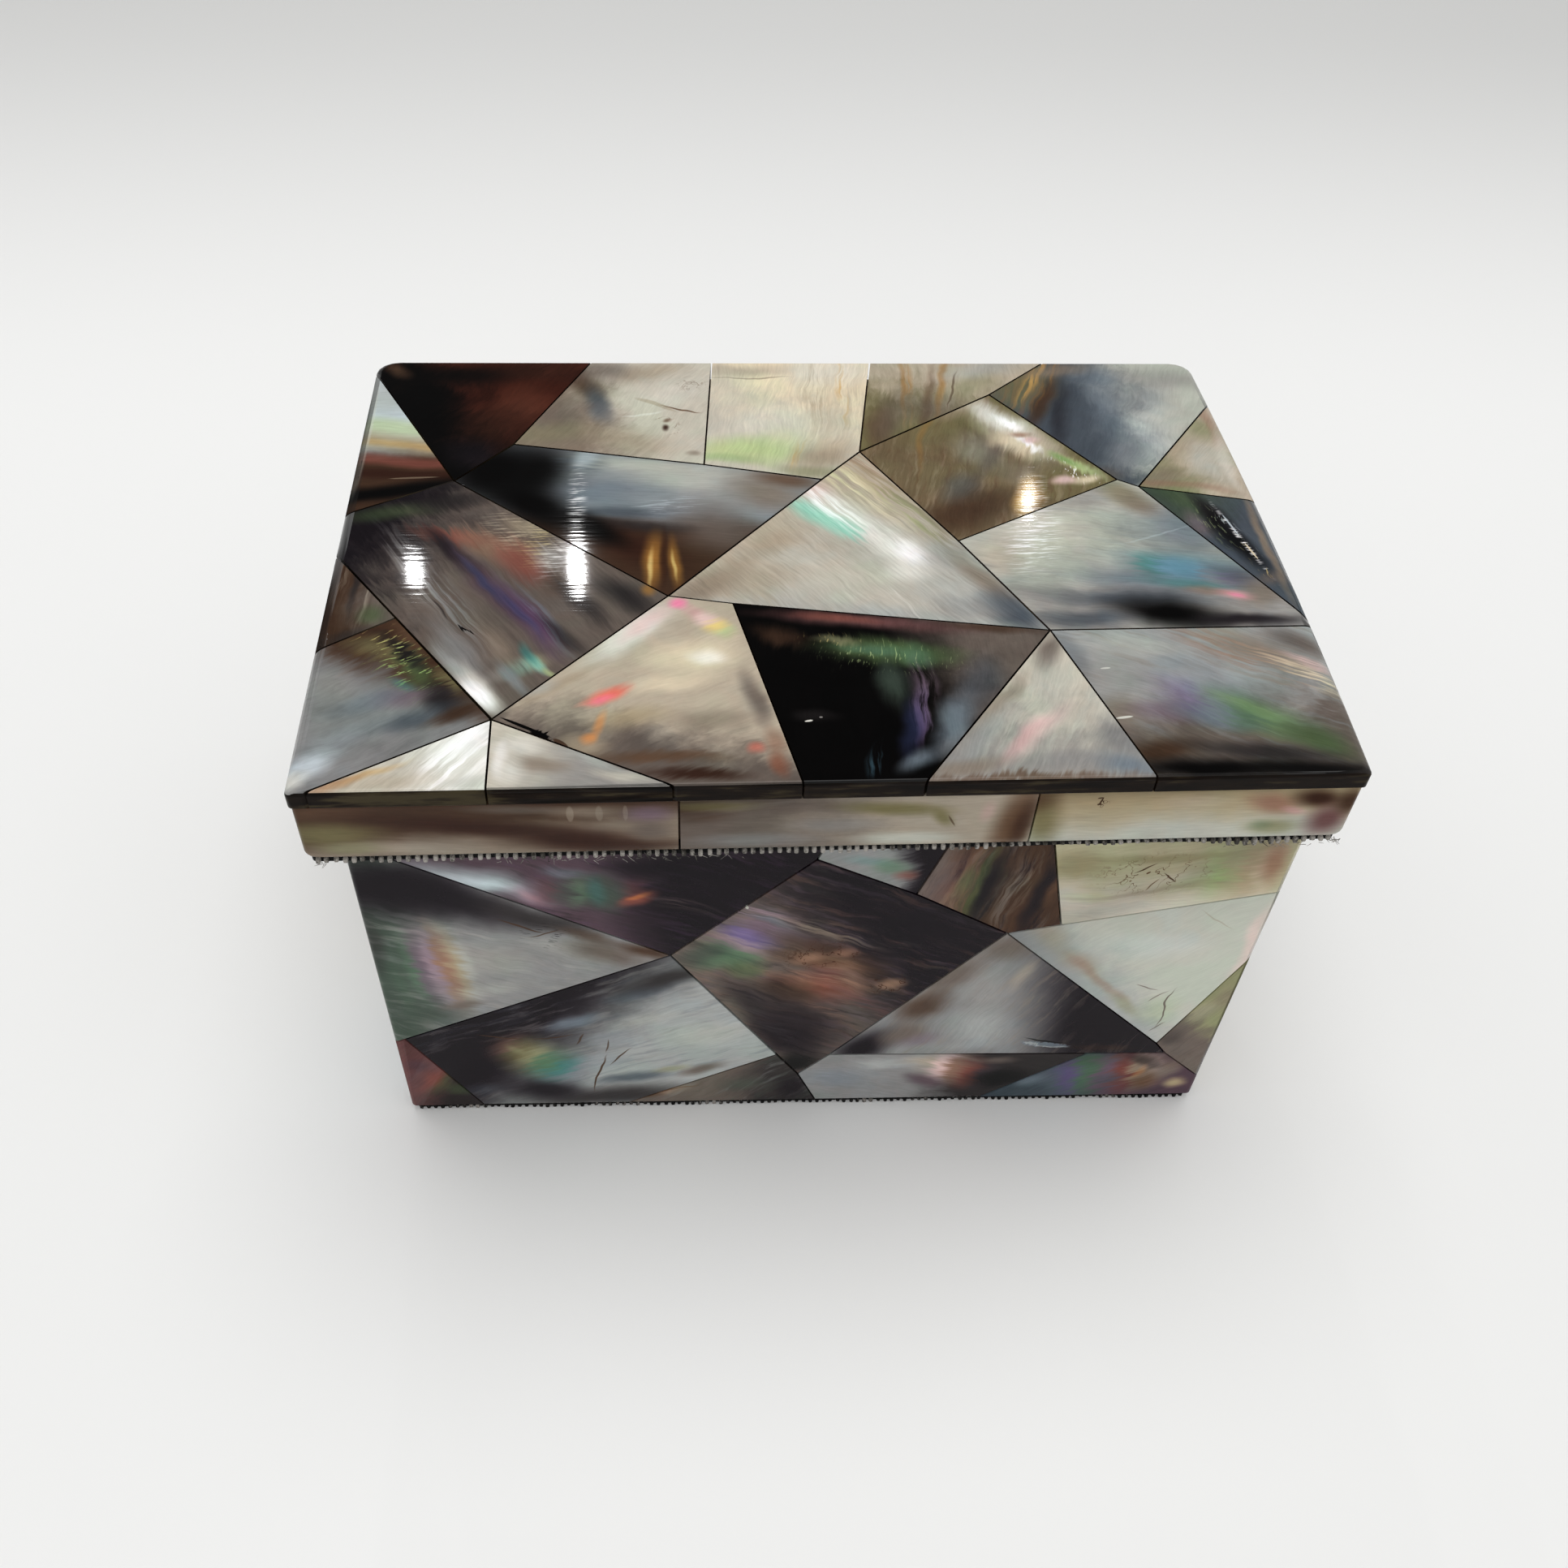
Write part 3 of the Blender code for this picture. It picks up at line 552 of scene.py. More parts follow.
            ("plain", "ink", 23, 73, 11, 10, 0, 1.0), ("plain", "ink", 30, 63, 10, 4.4, -40, 1.0),
            ("plain", "ink", 30.5, 72, 4.4, 6, -20, 0.9), ("plain", "ink", 40, 56.5, 6, 2.4, -38, 0.95),
            ("streak", "slate", 37.5, 75, 3.4, 4, 20, 0.6),
            ("plain", "frost", 38.4, 75.6, 1.6, 2.6, -30, 0.6),
            # Painted lamp reflections: the white ripples at across 37 are the tail of the middle lamp's
            # reflection, and the amber and gold streaks at across 49 to 53 are the streaks of a mirrored lamp.
            ("ripples", "white", 37, 64.4, 1.3, 8, 0, 0.75), ("plain", "amber", 49.6, 48, 1.4, 6, -3, 0.9),
            ("plain", "gold", 49.2, 46.4, 0.4, 4, -3, 0.7),
            ("plain", "amber", 52.9, 47.6, 0.9, 5.4, 4, 0.8),
            ("plain", "gold", 52.8, 47, 0.28, 3.2, 4, 0.6), ("plain", "cocoa", 51.2, 49, 0.5, 6, 0, 0.7),
            ("line", "frost", 50, 63.2, 5, 0.3, 8, 0.4), ("ripples", "frost", 52.5, 63, 4.4, 2.4, 8, 0.5),
        )),
    9: dict(
        slot="shell_pearl", seed=9, grain=-54, feather=8, contrast=0.35, pitch=0.8, length=12, patchy=0.35,
        fine=0.6, drift=3.5, orient=0.35, ground=("oat", "silver", -65, (82, 48), 14),
        washes=(
            ("plain", "pearl", 80, 44, 14, 6, -8, 0.8), ("plain", "taupe", 57, 41.5, 7, 2.6, 40, 0.7),
            ("plain", "sand", 66, 50, 12, 2, 40, 0.4), ("plain", "sand", 64, 43, 7, 3, 20, 0.4),
            ("plain", "mist", 84, 53, 14, 5, -35, 0.7), ("streak", "clay", 85, 72, 9, 3.4, -60, 0.6),
            ("streak", "lime", 81.5, 69, 5, 2.2, -45, 0.75),
            ("streak", "cream", 84, 67, 12, 3.4, -52, 0.7), ("ragged", "blush", 77, 65, 5, 2, -48, 0.7),
            ("streak", "khaki", 91, 62, 12, 1.8, -58, 0.8),
            ("streak", "taupe", 94.5, 56.5, 7, 1.6, -58, 0.7),
            ("streak", "lime", 92, 59, 6, 1.4, -55, 0.45), ("ragged", "milk", 82, 58, 10, 3.4, -46, 0.85),
            ("ragged", "aqua", 75.5, 60, 5.5, 2, -44, 0.9), ("ragged", "aqua", 80, 56.4, 3.4, 2, -40, 0.8),
            ("streak", "white", 79.5, 60, 7, 2.2, -50, 0.75),
            # The milk and white washes about across 90, up 47 to 50, are a painted highlight: the pearly flash
            # where the shell throws back the light.
            ("plain", "milk", 90, 49.5, 5.5, 3.4, -40, 0.95),
            ("ragged", "white", 90.5, 49.6, 3.4, 2, -45, 0.95),
            ("plain", "milk", 89.5, 45, 3.4, 2.4, 0, 0.7), ("streak", "milk", 87, 53, 6, 3, -45, 0.7),
            ("plain", "grey", 96, 49, 3.4, 4, -60, 0.6), ("plain", "taupe", 101.5, 42, 7, 1.8, -60, 0.8),
            ("plain", "slate", 104.5, 34.8, 5.5, 3.4, -50, 0.95),
            ("plain", "grey", 97, 36.5, 6, 2.2, -10, 0.6), ("plain", "pearl", 86, 38, 8, 2, -8, 0.5),
            ("line", "milk", 88, 37.4, 6, 0.3, -60, 0.3),
        )),
    10: dict(
        slot="shell_sand", seed=10, grain=74, feather=5, contrast=0.4, patchy=0.7, orient=0.4,
        glow=(("bark", 0.45), ("sand", 0.35)), ground=("drab", "olive", 35, (106, 80), 12),
        washes=(
            ("plain", "olive", 99, 84, 8, 4, 30, 0.6), ("plain", "amber", 97, 82, 10, 0.6, 76, 0.3),
            ("plain", "umber", 101, 60, 10, 4, 30, 0.8), ("plain", "slate", 101, 67, 4, 2.6, 60, 0.5),
            ("plain", "sand", 104, 90, 5, 2, 30, 0.7), ("plain", "grey", 106, 78, 4, 5, 10, 0.5),
            ("plain", "dusk", 107.5, 76, 7, 1.3, 60, 0.6), ("plain", "taupe", 112, 72, 5, 3, 20, 0.6),
            ("plain", "pearl", 112.5, 84, 9, 3.4, -56, 0.85),
            ("plain", "oat", 117.5, 79, 5, 2.4, -50, 0.7), ("ragged", "taupe", 109.4, 84, 3, 0.6, 70, 0.6),
            ("ragged", "milk", 111, 87.6, 6, 2.2, -52, 0.9),
            ("ragged", "white", 112.5, 86, 2.6, 0.9, -60, 0.9),
            ("ragged", "cream", 112.4, 79.6, 4.4, 2.6, -40, 0.9),
            ("ragged", "white", 114.6, 79.4, 3, 0.9, -50, 0.95),
            ("plain", "blush", 115, 80.6, 1.4, 1, 0, 0.8),
            ("plain", "clay", 113.6, 82.4, 1.6, 0.7, 0, 0.7),
            ("ragged", "lime", 122, 73.4, 4.6, 1.4, -44, 0.9),
            ("plain", "leaf", 120.6, 75, 2.6, 0.9, -44, 0.8),
            ("flecks", "white", 121, 71.4, 5, 2, -44, 0.9), ("plain", "blush", 119, 68.8, 1.6, 1, 0, 0.85),
            ("plain", "cream", 122.6, 69, 2.4, 0.9, 20, 0.8),
            # The oat, honey, gold and white ripple washes about across 112, up 64, are a painted reflection of
            # the right lamp.
            ("plain", "oat", 112.4, 68, 1.4, 4.4, -14, 0.6),
            ("plain", "honey", 112.4, 64.5, 2, 5, -16, 0.9),
            ("plain", "gold", 112.2, 63.6, 1.2, 4.4, -16, 0.8),
            ("ripples", "white", 112.6, 64, 2, 5.5, -16, 0.95),
            ("plain", "oat", 106.5, 91.5, 3.4, 1, 30, 0.6),
        )),
    11: dict(
        slot="shell_silver", seed=11, grain=-10, feather=6, contrast=0.25, patchy=0.5, fine=0.45, drift=4,
        orient=0.4, glow=(("mist", 0.35), ("storm", 0.3)), ground=("grey", "mist", 125, (120, 50), 12),
        washes=(
            ("plain", "grey", 122, 64.5, 5, 2.6, 30, 0.6), ("plain", "olive", 128.5, 65, 5, 2.4, -50, 0.6),
            ("plain", "taupe", 130.5, 62, 4, 2, -50, 0.6), ("plain", "pearl", 112, 54, 9, 6, 20, 0.7),
            ("plain", "oat", 104.5, 49, 4, 4, 60, 0.6), ("plain", "storm", 134, 54, 9, 4, -20, 0.7),
            ("plain", "steel", 137, 57, 5, 5, -30, 0.7), ("plain", "mist", 119, 46, 8, 3.4, 10, 0.6),
            ("plain", "sea", 134, 46.6, 9, 3, -8, 0.6), ("plain", "steel", 127, 42.4, 10, 2.8, -10, 0.8),
            ("rainbow", "fog storm teal sea sea steel violet rose", 133, 45, 9, 3, -16, 0.8),
            ("plain", "teal", 134, 41, 8, 1.4, -10, 0.5), ("plain", "grey", 110, 39, 6, 3, -20, 0.7),
            ("plain", "slate", 124, 38, 12, 2, -4, 0.85), ("plain", "ink", 129, 34.4, 9, 2.8, -12, 1.0),
            ("plain", "night", 141, 32.6, 8, 1.3, 0, 0.9), ("plain", "slate", 115, 33.6, 7, 2, 0, 0.8),
            ("plain", "slate", 143, 42.6, 5, 2.6, -40, 0.7),
            ("plain", "taupe", 145, 39, 3.4, 2.6, 40, 0.8),
            ("plain", "rose", 140.4, 38.6, 2.6, 1.1, -10, 0.95),
            ("plain", "pink", 140.8, 38.4, 1.3, 0.5, -10, 0.5),
            # The milk wash and the white ripples at across 111, up 54 to 55, are the painted broken tail of
            # the right lamp's reflection.
            ("plain", "clay", 136, 39.4, 3, 1, -8, 0.5), ("plain", "milk", 111, 55, 2.4, 5, -16, 0.4),
            ("ripples", "white", 111, 54, 3.6, 8, -16, 0.95), ("line", "frost", 131, 54, 8, 0.25, 20, 0.3),
        )),
    12: dict(
        slot="shell_umber", seed=12, grain=-72, feather=4, contrast=0.4, patchy=0.9, orient=0.4,
        ground=("pine", "slate", -40, (141, 57), 5),
        washes=(
            ("plain", "moss", 137, 64, 5, 2.4, -50, 0.5),
            ("plain", "mauve", 139.4, 57, 3.4, 1.6, -60, 0.5),
            ("plain", "night", 142, 60, 5, 1.6, -60, 0.8), ("plain", "ink", 144.6, 52, 8, 1.8, -70, 0.85),
            # The white ripples, the lime, frost and gold flecks and the exact frost and cream lines between
            # across 142 and 147 are painted glints: a glitter of reflected light.
            ("ripples", "white", 145.4, 52.5, 0.45, 8, 14, 1.0),
            ("flecks", "lime", 142, 57, 6, 2, -66, 0.4), ("flecks", "frost", 144.6, 56, 6, 0.9, -70, 0.6),
            ("flecks", "gold", 146.4, 47, 5, 1, -76, 0.7),
            ("plain", "dusk", 147.8, 42.6, 1.4, 4, -70, 0.6),
            ("plain", "taupe", 149.3, 52, 0.8, 13, 2, 0.9),
            ("exact", "frost", 144.6, 56.5, 0.2, 3.4, 13, 0.9),
            ("exact", "cream", 146.2, 49.6, 0.22, 2.6, 14, 0.9),
        )),
    13: dict(
        slot="shell_smoke", seed=13, grain=-57, feather=8, contrast=0.65, pitch=0.8, length=16, patchy=0.5,
        drift=3, orient=0.35, ground=("night", "dusk", -20, (11, 50), 9),
        washes=(
            ("plain", "moss", 7, 61, 7, 2, 10, 0.5), ("plain", "soot", 17, 64, 6, 2, 10, 0.7),
            ("streak", "ash", 17, 41, 14, 2.2, -57, 0.85), ("streak", "grey", 14, 43, 8, 0.9, -57, 0.6),
            ("ragged", "copper", 18, 55, 6, 1.6, -10, 0.85), ("ragged", "clay", 25, 52, 7, 3, -30, 0.8),
            ("ragged", "copper", 29, 48, 5, 2.6, -50, 0.8),
            ("rainbow", "mist silver teal aqua lime blush", 30, 24, 4, 1.8, 30, 0.55),
            # The cream, gold and white ripples between across 28 and 35 are painted lamp reflections, broken
            # along the polishing marks.
            ("ripples", "cream", 28, 56.6, 5, 4, -30, 0.6), ("ripples", "gold", 32, 53, 3, 5, -20, 0.5),
            ("plain", "sand", 29, 57, 3.4, 1.8, -32, 0.7), ("ragged", "grey", 34, 50, 3, 3.4, -50, 0.8),
            ("ripples", "white", 34.4, 49, 2.4, 5, -10, 0.6), ("plain", "umber", 36, 44, 3, 4, -40, 0.5),
            ("ragged", "night", 18, 51, 7, 1.4, -52, 0.95),
            ("ragged", "mulberry", 24, 43, 10, 1.9, -57, 0.98),
            ("plain", "indigo", 23.4, 43.6, 7, 0.7, -57, 0.55), ("ragged", "plum", 31, 35, 8, 2, -58, 0.9),
            ("plain", "indigo", 29, 36.6, 6, 0.7, -58, 0.5),
            ("streak", "steel", 33.6, 34, 8, 1.2, -60, 0.6),
            ("plain", "soot", 45, 39.4, 6, 2.4, -45, 0.95), ("ragged", "soot", 38, 39, 6, 1.6, -55, 0.8),
            ("plain", "night", 36, 31, 5, 1.2, -50, 0.6), ("plain", "amber", 48.6, 41.2, 1.2, 1.4, 0, 0.7),
            ("plain", "ash", 21, 28, 7, 1.8, -58, 0.8), ("ragged", "taupe", 27, 28, 7, 1.6, -60, 0.7),
            ("plain", "aqua", 32.6, 25, 2.2, 0.8, -58, 0.8),
            ("plain", "teal", 31.2, 27, 2.4, 0.8, -58, 0.7),
            ("plain", "lime", 34.4, 23, 1.2, 0.5, -50, 0.6),
            ("plain", "milk", 24.4, 19.6, 5.5, 1.6, -56, 0.95),
            ("plain", "white", 25, 18.2, 3, 1.1, -56, 0.9),
            ("plain", "storm", 29.4, 21.4, 4, 0.9, -56, 0.7), ("ragged", "fog", 20, 25.4, 5, 1, -57, 0.7),
            ("patch", "ink", 21.7, 32.5, 0.9, 0.5, -40, 0.9),
            ("line", "soot", 17.5, 37.5, 3.4, 0.25, -60, 0.6),
        )),
    14: dict(
        slot="shell_umber", seed=14, grain=86, feather=6, contrast=0.7, pitch=1.0, orient=0.2,
        ground=("umber", "dusk", 0, (5, 40), 5),
        washes=(
            ("streak", "taupe", 1.4, 45, 1, 5, 0, 0.7), ("streak", "putty", 6, 40, 0.6, 6, -4, 0.6),
            ("plain", "soot", 4, 43, 0.6, 6, 0, 0.8), ("plain", "moss", 7.6, 36, 2, 2, 0, 0.6),
            ("plain", "soot", 4, 31, 4, 1.4, 20, 0.6),
        )),
    15: dict(
        slot="shell_smoke", seed=15, grain=35, feather=5, contrast=0.35, patchy=0.9, orient=0.35,
        ground=("ash", "umber", 60, (11, 22.6), 4),
        washes=(
            ("plain", "bark", 13, 31, 4, 1.4, -50, 0.6), ("ragged", "olive", 10, 28, 5, 2, -30, 0.8),
            ("ragged", "moss", 15, 24, 5, 1.6, -55, 0.8), ("ragged", "night", 12.6, 27.6, 5, 1, -44, 0.85),
            ("flecks", "gold", 12, 27, 7, 2.4, -48, 0.9), ("flecks", "leaf", 14, 24, 7, 3, -48, 0.9),
            ("plain", "night", 20, 17.4, 4, 2, -50, 0.8), ("ragged", "olive", 20, 21.5, 3, 1, -50, 0.8),
            ("plain", "grey", 4, 21, 3, 3, 0, 0.6), ("plain", "heather", 14, 18, 4, 1.6, 10, 0.7),
            ("plain", "slate", 16, 14, 5, 1.8, 20, 0.8), ("plain", "teal", 14, 20.6, 2, 0.8, -30, 0.4),
            ("plain", "steel", 9, 17, 5, 1.6, 26, 0.5), ("plain", "storm", 7, 11, 6, 2, 35, 0.7),
            ("plain", "frost", 3, 4.6, 4, 2, 45, 0.95), ("plain", "milk", 1.4, 1.8, 2.4, 1.4, 30, 0.8),
            ("ragged", "umber", 22, 14.6, 4, 1.2, 25, 0.9),
        )),
    16: dict(
        slot="shell_pearl", seed=16, grain=28, feather=4, contrast=0.2, patchy=0.5, fine=0.25, drift=4,
        orient=0.3, ground=("dusk", "oat", 74, (52, 9.4), 4.6),
        washes=(
            ("plain", "milk", 46, 31, 8, 2.6, 46, 0.95), ("plain", "blush", 48, 33, 5, 1.4, 46, 0.6),
            ("plain", "cream", 55, 26, 6, 3.4, 10, 0.85), ("plain", "white", 57, 26, 2.4, 1.4, 0, 0.5),
            ("plain", "cream", 51, 20, 6, 1.6, 14, 0.6), ("plain", "sand", 36, 20.4, 6, 1, 35, 0.6),
            ("plain", "oat", 50.5, 31, 6, 0.9, 60, 0.5), ("plain", "silver", 33, 20, 2.4, 1.4, 20, 0.6),
            ("plain", "dusk", 63.6, 17, 5, 1.4, -76, 0.8), ("plain", "taupe", 57, 13, 5, 1.8, 0, 0.6),
            ("plain", "tan", 46, 13, 5, 2, 10, 0.7), ("plain", "sand", 40, 8, 3, 1.6, -10, 0.8),
            ("ragged", "bark", 50, 5.6, 8, 1.1, -4, 0.85), ("ragged", "cocoa", 55, 2, 6, 1, -4, 0.9),
            ("rainbow", "pink rose blush gold lime cream", 57.6, 33.4, 4, 1.7, -46, 0.95),
            ("plain", "pink", 53, 37.8, 1.4, 1.1, 20, 0.85),
            ("ragged", "coral", 42.6, 17.4, 3.4, 1, 26, 0.9),
            ("plain", "pink", 41.6, 16.6, 1.8, 0.6, 26, 0.5),
            ("plain", "flame", 41.4, 12, 0.7, 2.4, -10, 0.5),
            ("plain", "flame", 40.4, 9.2, 1, 0.9, 0, 0.6), ("plain", "coral", 63.8, 6.6, 1.1, 1.1, 0, 0.5),
            ("plain", "clay", 66.4, 8, 1.4, 3, 10, 0.7), ("plain", "rust", 66.8, 3.4, 1.2, 2, 10, 0.7),
            ("exact", "ink", 31.4, 11.7, 4.6, 0.32, -30, 1.0),
            ("patch", "ink", 33.8, 9.9, 2, 0.9, -26, 1.0),
            ("exact", "umber", 36.4, 8.5, 1.5, 0.5, -40, 0.9),
        )),
    17: dict(
        slot="shell_night", seed=17, grain=86, feather=3, contrast=0.5, pitch=1.6, patchy=1.2, orient=0.3,
        marble=0.9, ground=("ink", "dusk", 10, (93, 18), 8),
        washes=(
            ("plain", "brick", 82, 33.2, 14, 1.5, -7, 0.95), ("plain", "copper", 77, 34, 6, 0.9, -7, 0.7),
            ("ragged", "umber", 68, 30, 4, 2, -20, 0.8), ("plain", "moss", 84, 27, 9, 1.8, -4, 0.7),
            ("ragged", "moss", 84, 26.6, 9, 2.6, -4, 0.9), ("plain", "fern", 82, 27, 5, 1.1, -4, 0.8),
            ("plain", "fern", 88.6, 25.6, 2, 2.4, -4, 0.7), ("flecks", "lime", 84, 25.6, 9, 3, -4, 0.6),
            ("ragged", "khaki", 76, 29, 3, 1, -8, 0.7), ("flecks", "gold", 75, 29, 4, 1.4, -8, 0.5),
            ("plain", "dusk", 100, 28.6, 6, 2, -8, 0.6), ("plain", "umber", 101, 31.6, 6, 0.9, -8, 0.7),
            ("ragged", "pine", 84, 20, 2, 5, -4, 0.8), ("streak", "heather", 88, 17, 1.8, 7, -6, 0.85),
            ("streak", "violet", 87, 13, 1.2, 5, -8, 0.5), ("ragged", "indigo", 85, 10, 1.4, 5, -8, 0.5),
            ("plain", "steel", 92, 12, 2.4, 6, -24, 0.85), ("plain", "storm", 91, 7, 1.6, 3, -34, 0.5),
            ("plain", "slate", 97, 20, 3, 5, -20, 0.6), ("streak", "sea", 80, 4.5, 1, 3, -14, 0.5),
            ("plain", "steel", 86, 4, 3, 1.6, 40, 0.8), ("plain", "ink", 72, 18, 5, 9, 6, 0.9),
            ("plain", "soot", 72.5, 12.6, 3, 1.2, 0, 0.5),
            ("exact", "milk", 71.2, 12.1, 0.7, 0.22, 10, 0.9),
            ("exact", "grey", 73, 12.8, 0.3, 0.2, 0, 0.8),
        )),
    18: dict(
        slot="shell_silver", seed=18, grain=65, feather=5, contrast=0.22, patchy=0.5, orient=0.3,
        glow=(("mist", 0.4),), ground=("grey", "pearl", 80, (104, 10), 8),
        washes=(
            ("plain", "dusk", 108.5, 26.5, 4, 1.8, 60, 0.85),
            ("plain", "taupe", 98.5, 15, 8, 1.4, 54, 0.6), ("plain", "mist", 107, 19, 6, 3, 70, 0.6),
            ("plain", "blush", 103.5, 9, 6, 1.6, 48, 0.85), ("plain", "rose", 101, 7, 4, 0.9, 46, 0.4),
            ("plain", "fog", 95, 8, 6, 1.6, 50, 0.6), ("plain", "ash", 115, 7, 4, 2.6, -70, 0.85),
            ("plain", "steel", 115, 2.4, 4, 1.4, -20, 0.8), ("plain", "ash", 108, 3.4, 5, 1.4, 0, 0.6),
            ("plain", "taupe", 92, 2.6, 6, 1.4, 10, 0.7), ("ragged", "bark", 100, 0.3, 16, 0.9, 0, 0.7),
        )),
    19: dict(
        slot="shell_silver", seed=19, grain=-28, feather=6, contrast=0.3, pitch=0.9, patchy=0.6, drift=4,
        orient=0.35, glow=(("storm", 0.4), ("taupe", 0.3)), ground=("dusk", "fog", 100, (130, 14), 7),
        washes=(
            ("plain", "mist", 121, 27, 7, 2.6, -10, 0.5), ("plain", "grey", 117, 20, 5, 6, 0, 0.6),
            ("plain", "taupe", 141, 26, 8, 3, -30, 0.7), ("streak", "clay", 138, 25, 12, 3.4, -34, 0.6),
            ("plain", "dusk", 147, 28, 5, 2, -30, 0.8), ("streak", "cream", 147, 19.6, 8, 1.8, -42, 0.8),
            ("streak", "blush", 148, 23, 4, 1.3, -40, 0.6), ("plain", "storm", 132, 20, 8, 3, -24, 0.6),
            ("plain", "taupe", 116.5, 12.5, 3, 3, 0, 0.75), ("plain", "heather", 124, 12.6, 6, 2, 0, 0.7),
            ("plain", "steel", 130, 12, 6, 2, -14, 0.7),
            ("rainbow", "heather violet steel fern leaf moss", 133, 13.4, 10, 3.4, -26, 0.7),
            ("plain", "fern", 138, 12, 9, 3, -32, 0.5), ("plain", "leaf", 136, 14, 6, 1.1, -28, 0.4),
            ("plain", "moss", 144.5, 6.6, 5, 2.4, -38, 0.85), ("plain", "dusk", 128, 6.6, 8, 1.8, -6, 0.8),
            ("plain", "umber", 120, 5, 6, 2, 10, 0.95), ("plain", "soot", 136, 4.6, 10, 1.8, -8, 0.9),
            ("plain", "ink", 127, 1.4, 12, 2, -2, 1.0), ("plain", "ink", 142, 0.8, 10, 1.6, -4, 0.95),
            ("plain", "slate", 112, 26, 1.6, 5, 20, 0.4), ("exact", "milk", 116.2, 22.2, 0.9, 0.2, 5, 0.7),
            ("exact", "milk", 116.8, 11.8, 1.5, 0.28, 8, 0.8),
        )),
    20: dict(
        slot="shell_pearl", seed=20, grain=50, feather=5, contrast=0.3, orient=0.25,
        ground=("pearl", "milk", 40, (16, 5), 5),
        washes=(
            ("streak", "white", 23, 6.5, 6, 3.4, 55, 0.9), ("plain", "white", 24, 9, 3, 2, 50, 0.6),
            ("plain", "copper", 6, 1.2, 4, 0.8, 24, 0.6), ("plain", "honey", 9, 2.6, 6, 0.7, 26, 0.5),
            ("plain", "oat", 12, 1.6, 7, 1.3, 10, 0.6), ("plain", "mist", 24.6, 1.4, 3, 1.4, 0, 0.6),
        )),
    21: dict(
        slot="shell_pearl", seed=21, grain=-20, feather=4, contrast=0.2, patchy=0.6, orient=0.3,
        ground=("pearl", "grey", -20, (35, 6), 6),
        washes=(
            ("plain", "milk", 30.4, 8.4, 3, 1.6, 0, 0.7),
            ("plain", "taupe", 33.6, 4.6, 3.4, 1.3, -20, 0.7),
            ("plain", "taupe", 36, 9, 3.4, 0.8, -28, 0.6), ("plain", "silver", 41, 5.4, 4, 1.3, -26, 0.7),
            ("plain", "umber", 45.5, 4.4, 6, 0.7, -28, 0.8), ("plain", "milk", 30, 3.4, 1.8, 2.4, 0, 0.6),
            ("plain", "white", 28.6, 5.6, 0.8, 3, 0, 0.4), ("plain", "pearl", 45, 1.8, 4, 1, -10, 0.7),
        )),
}

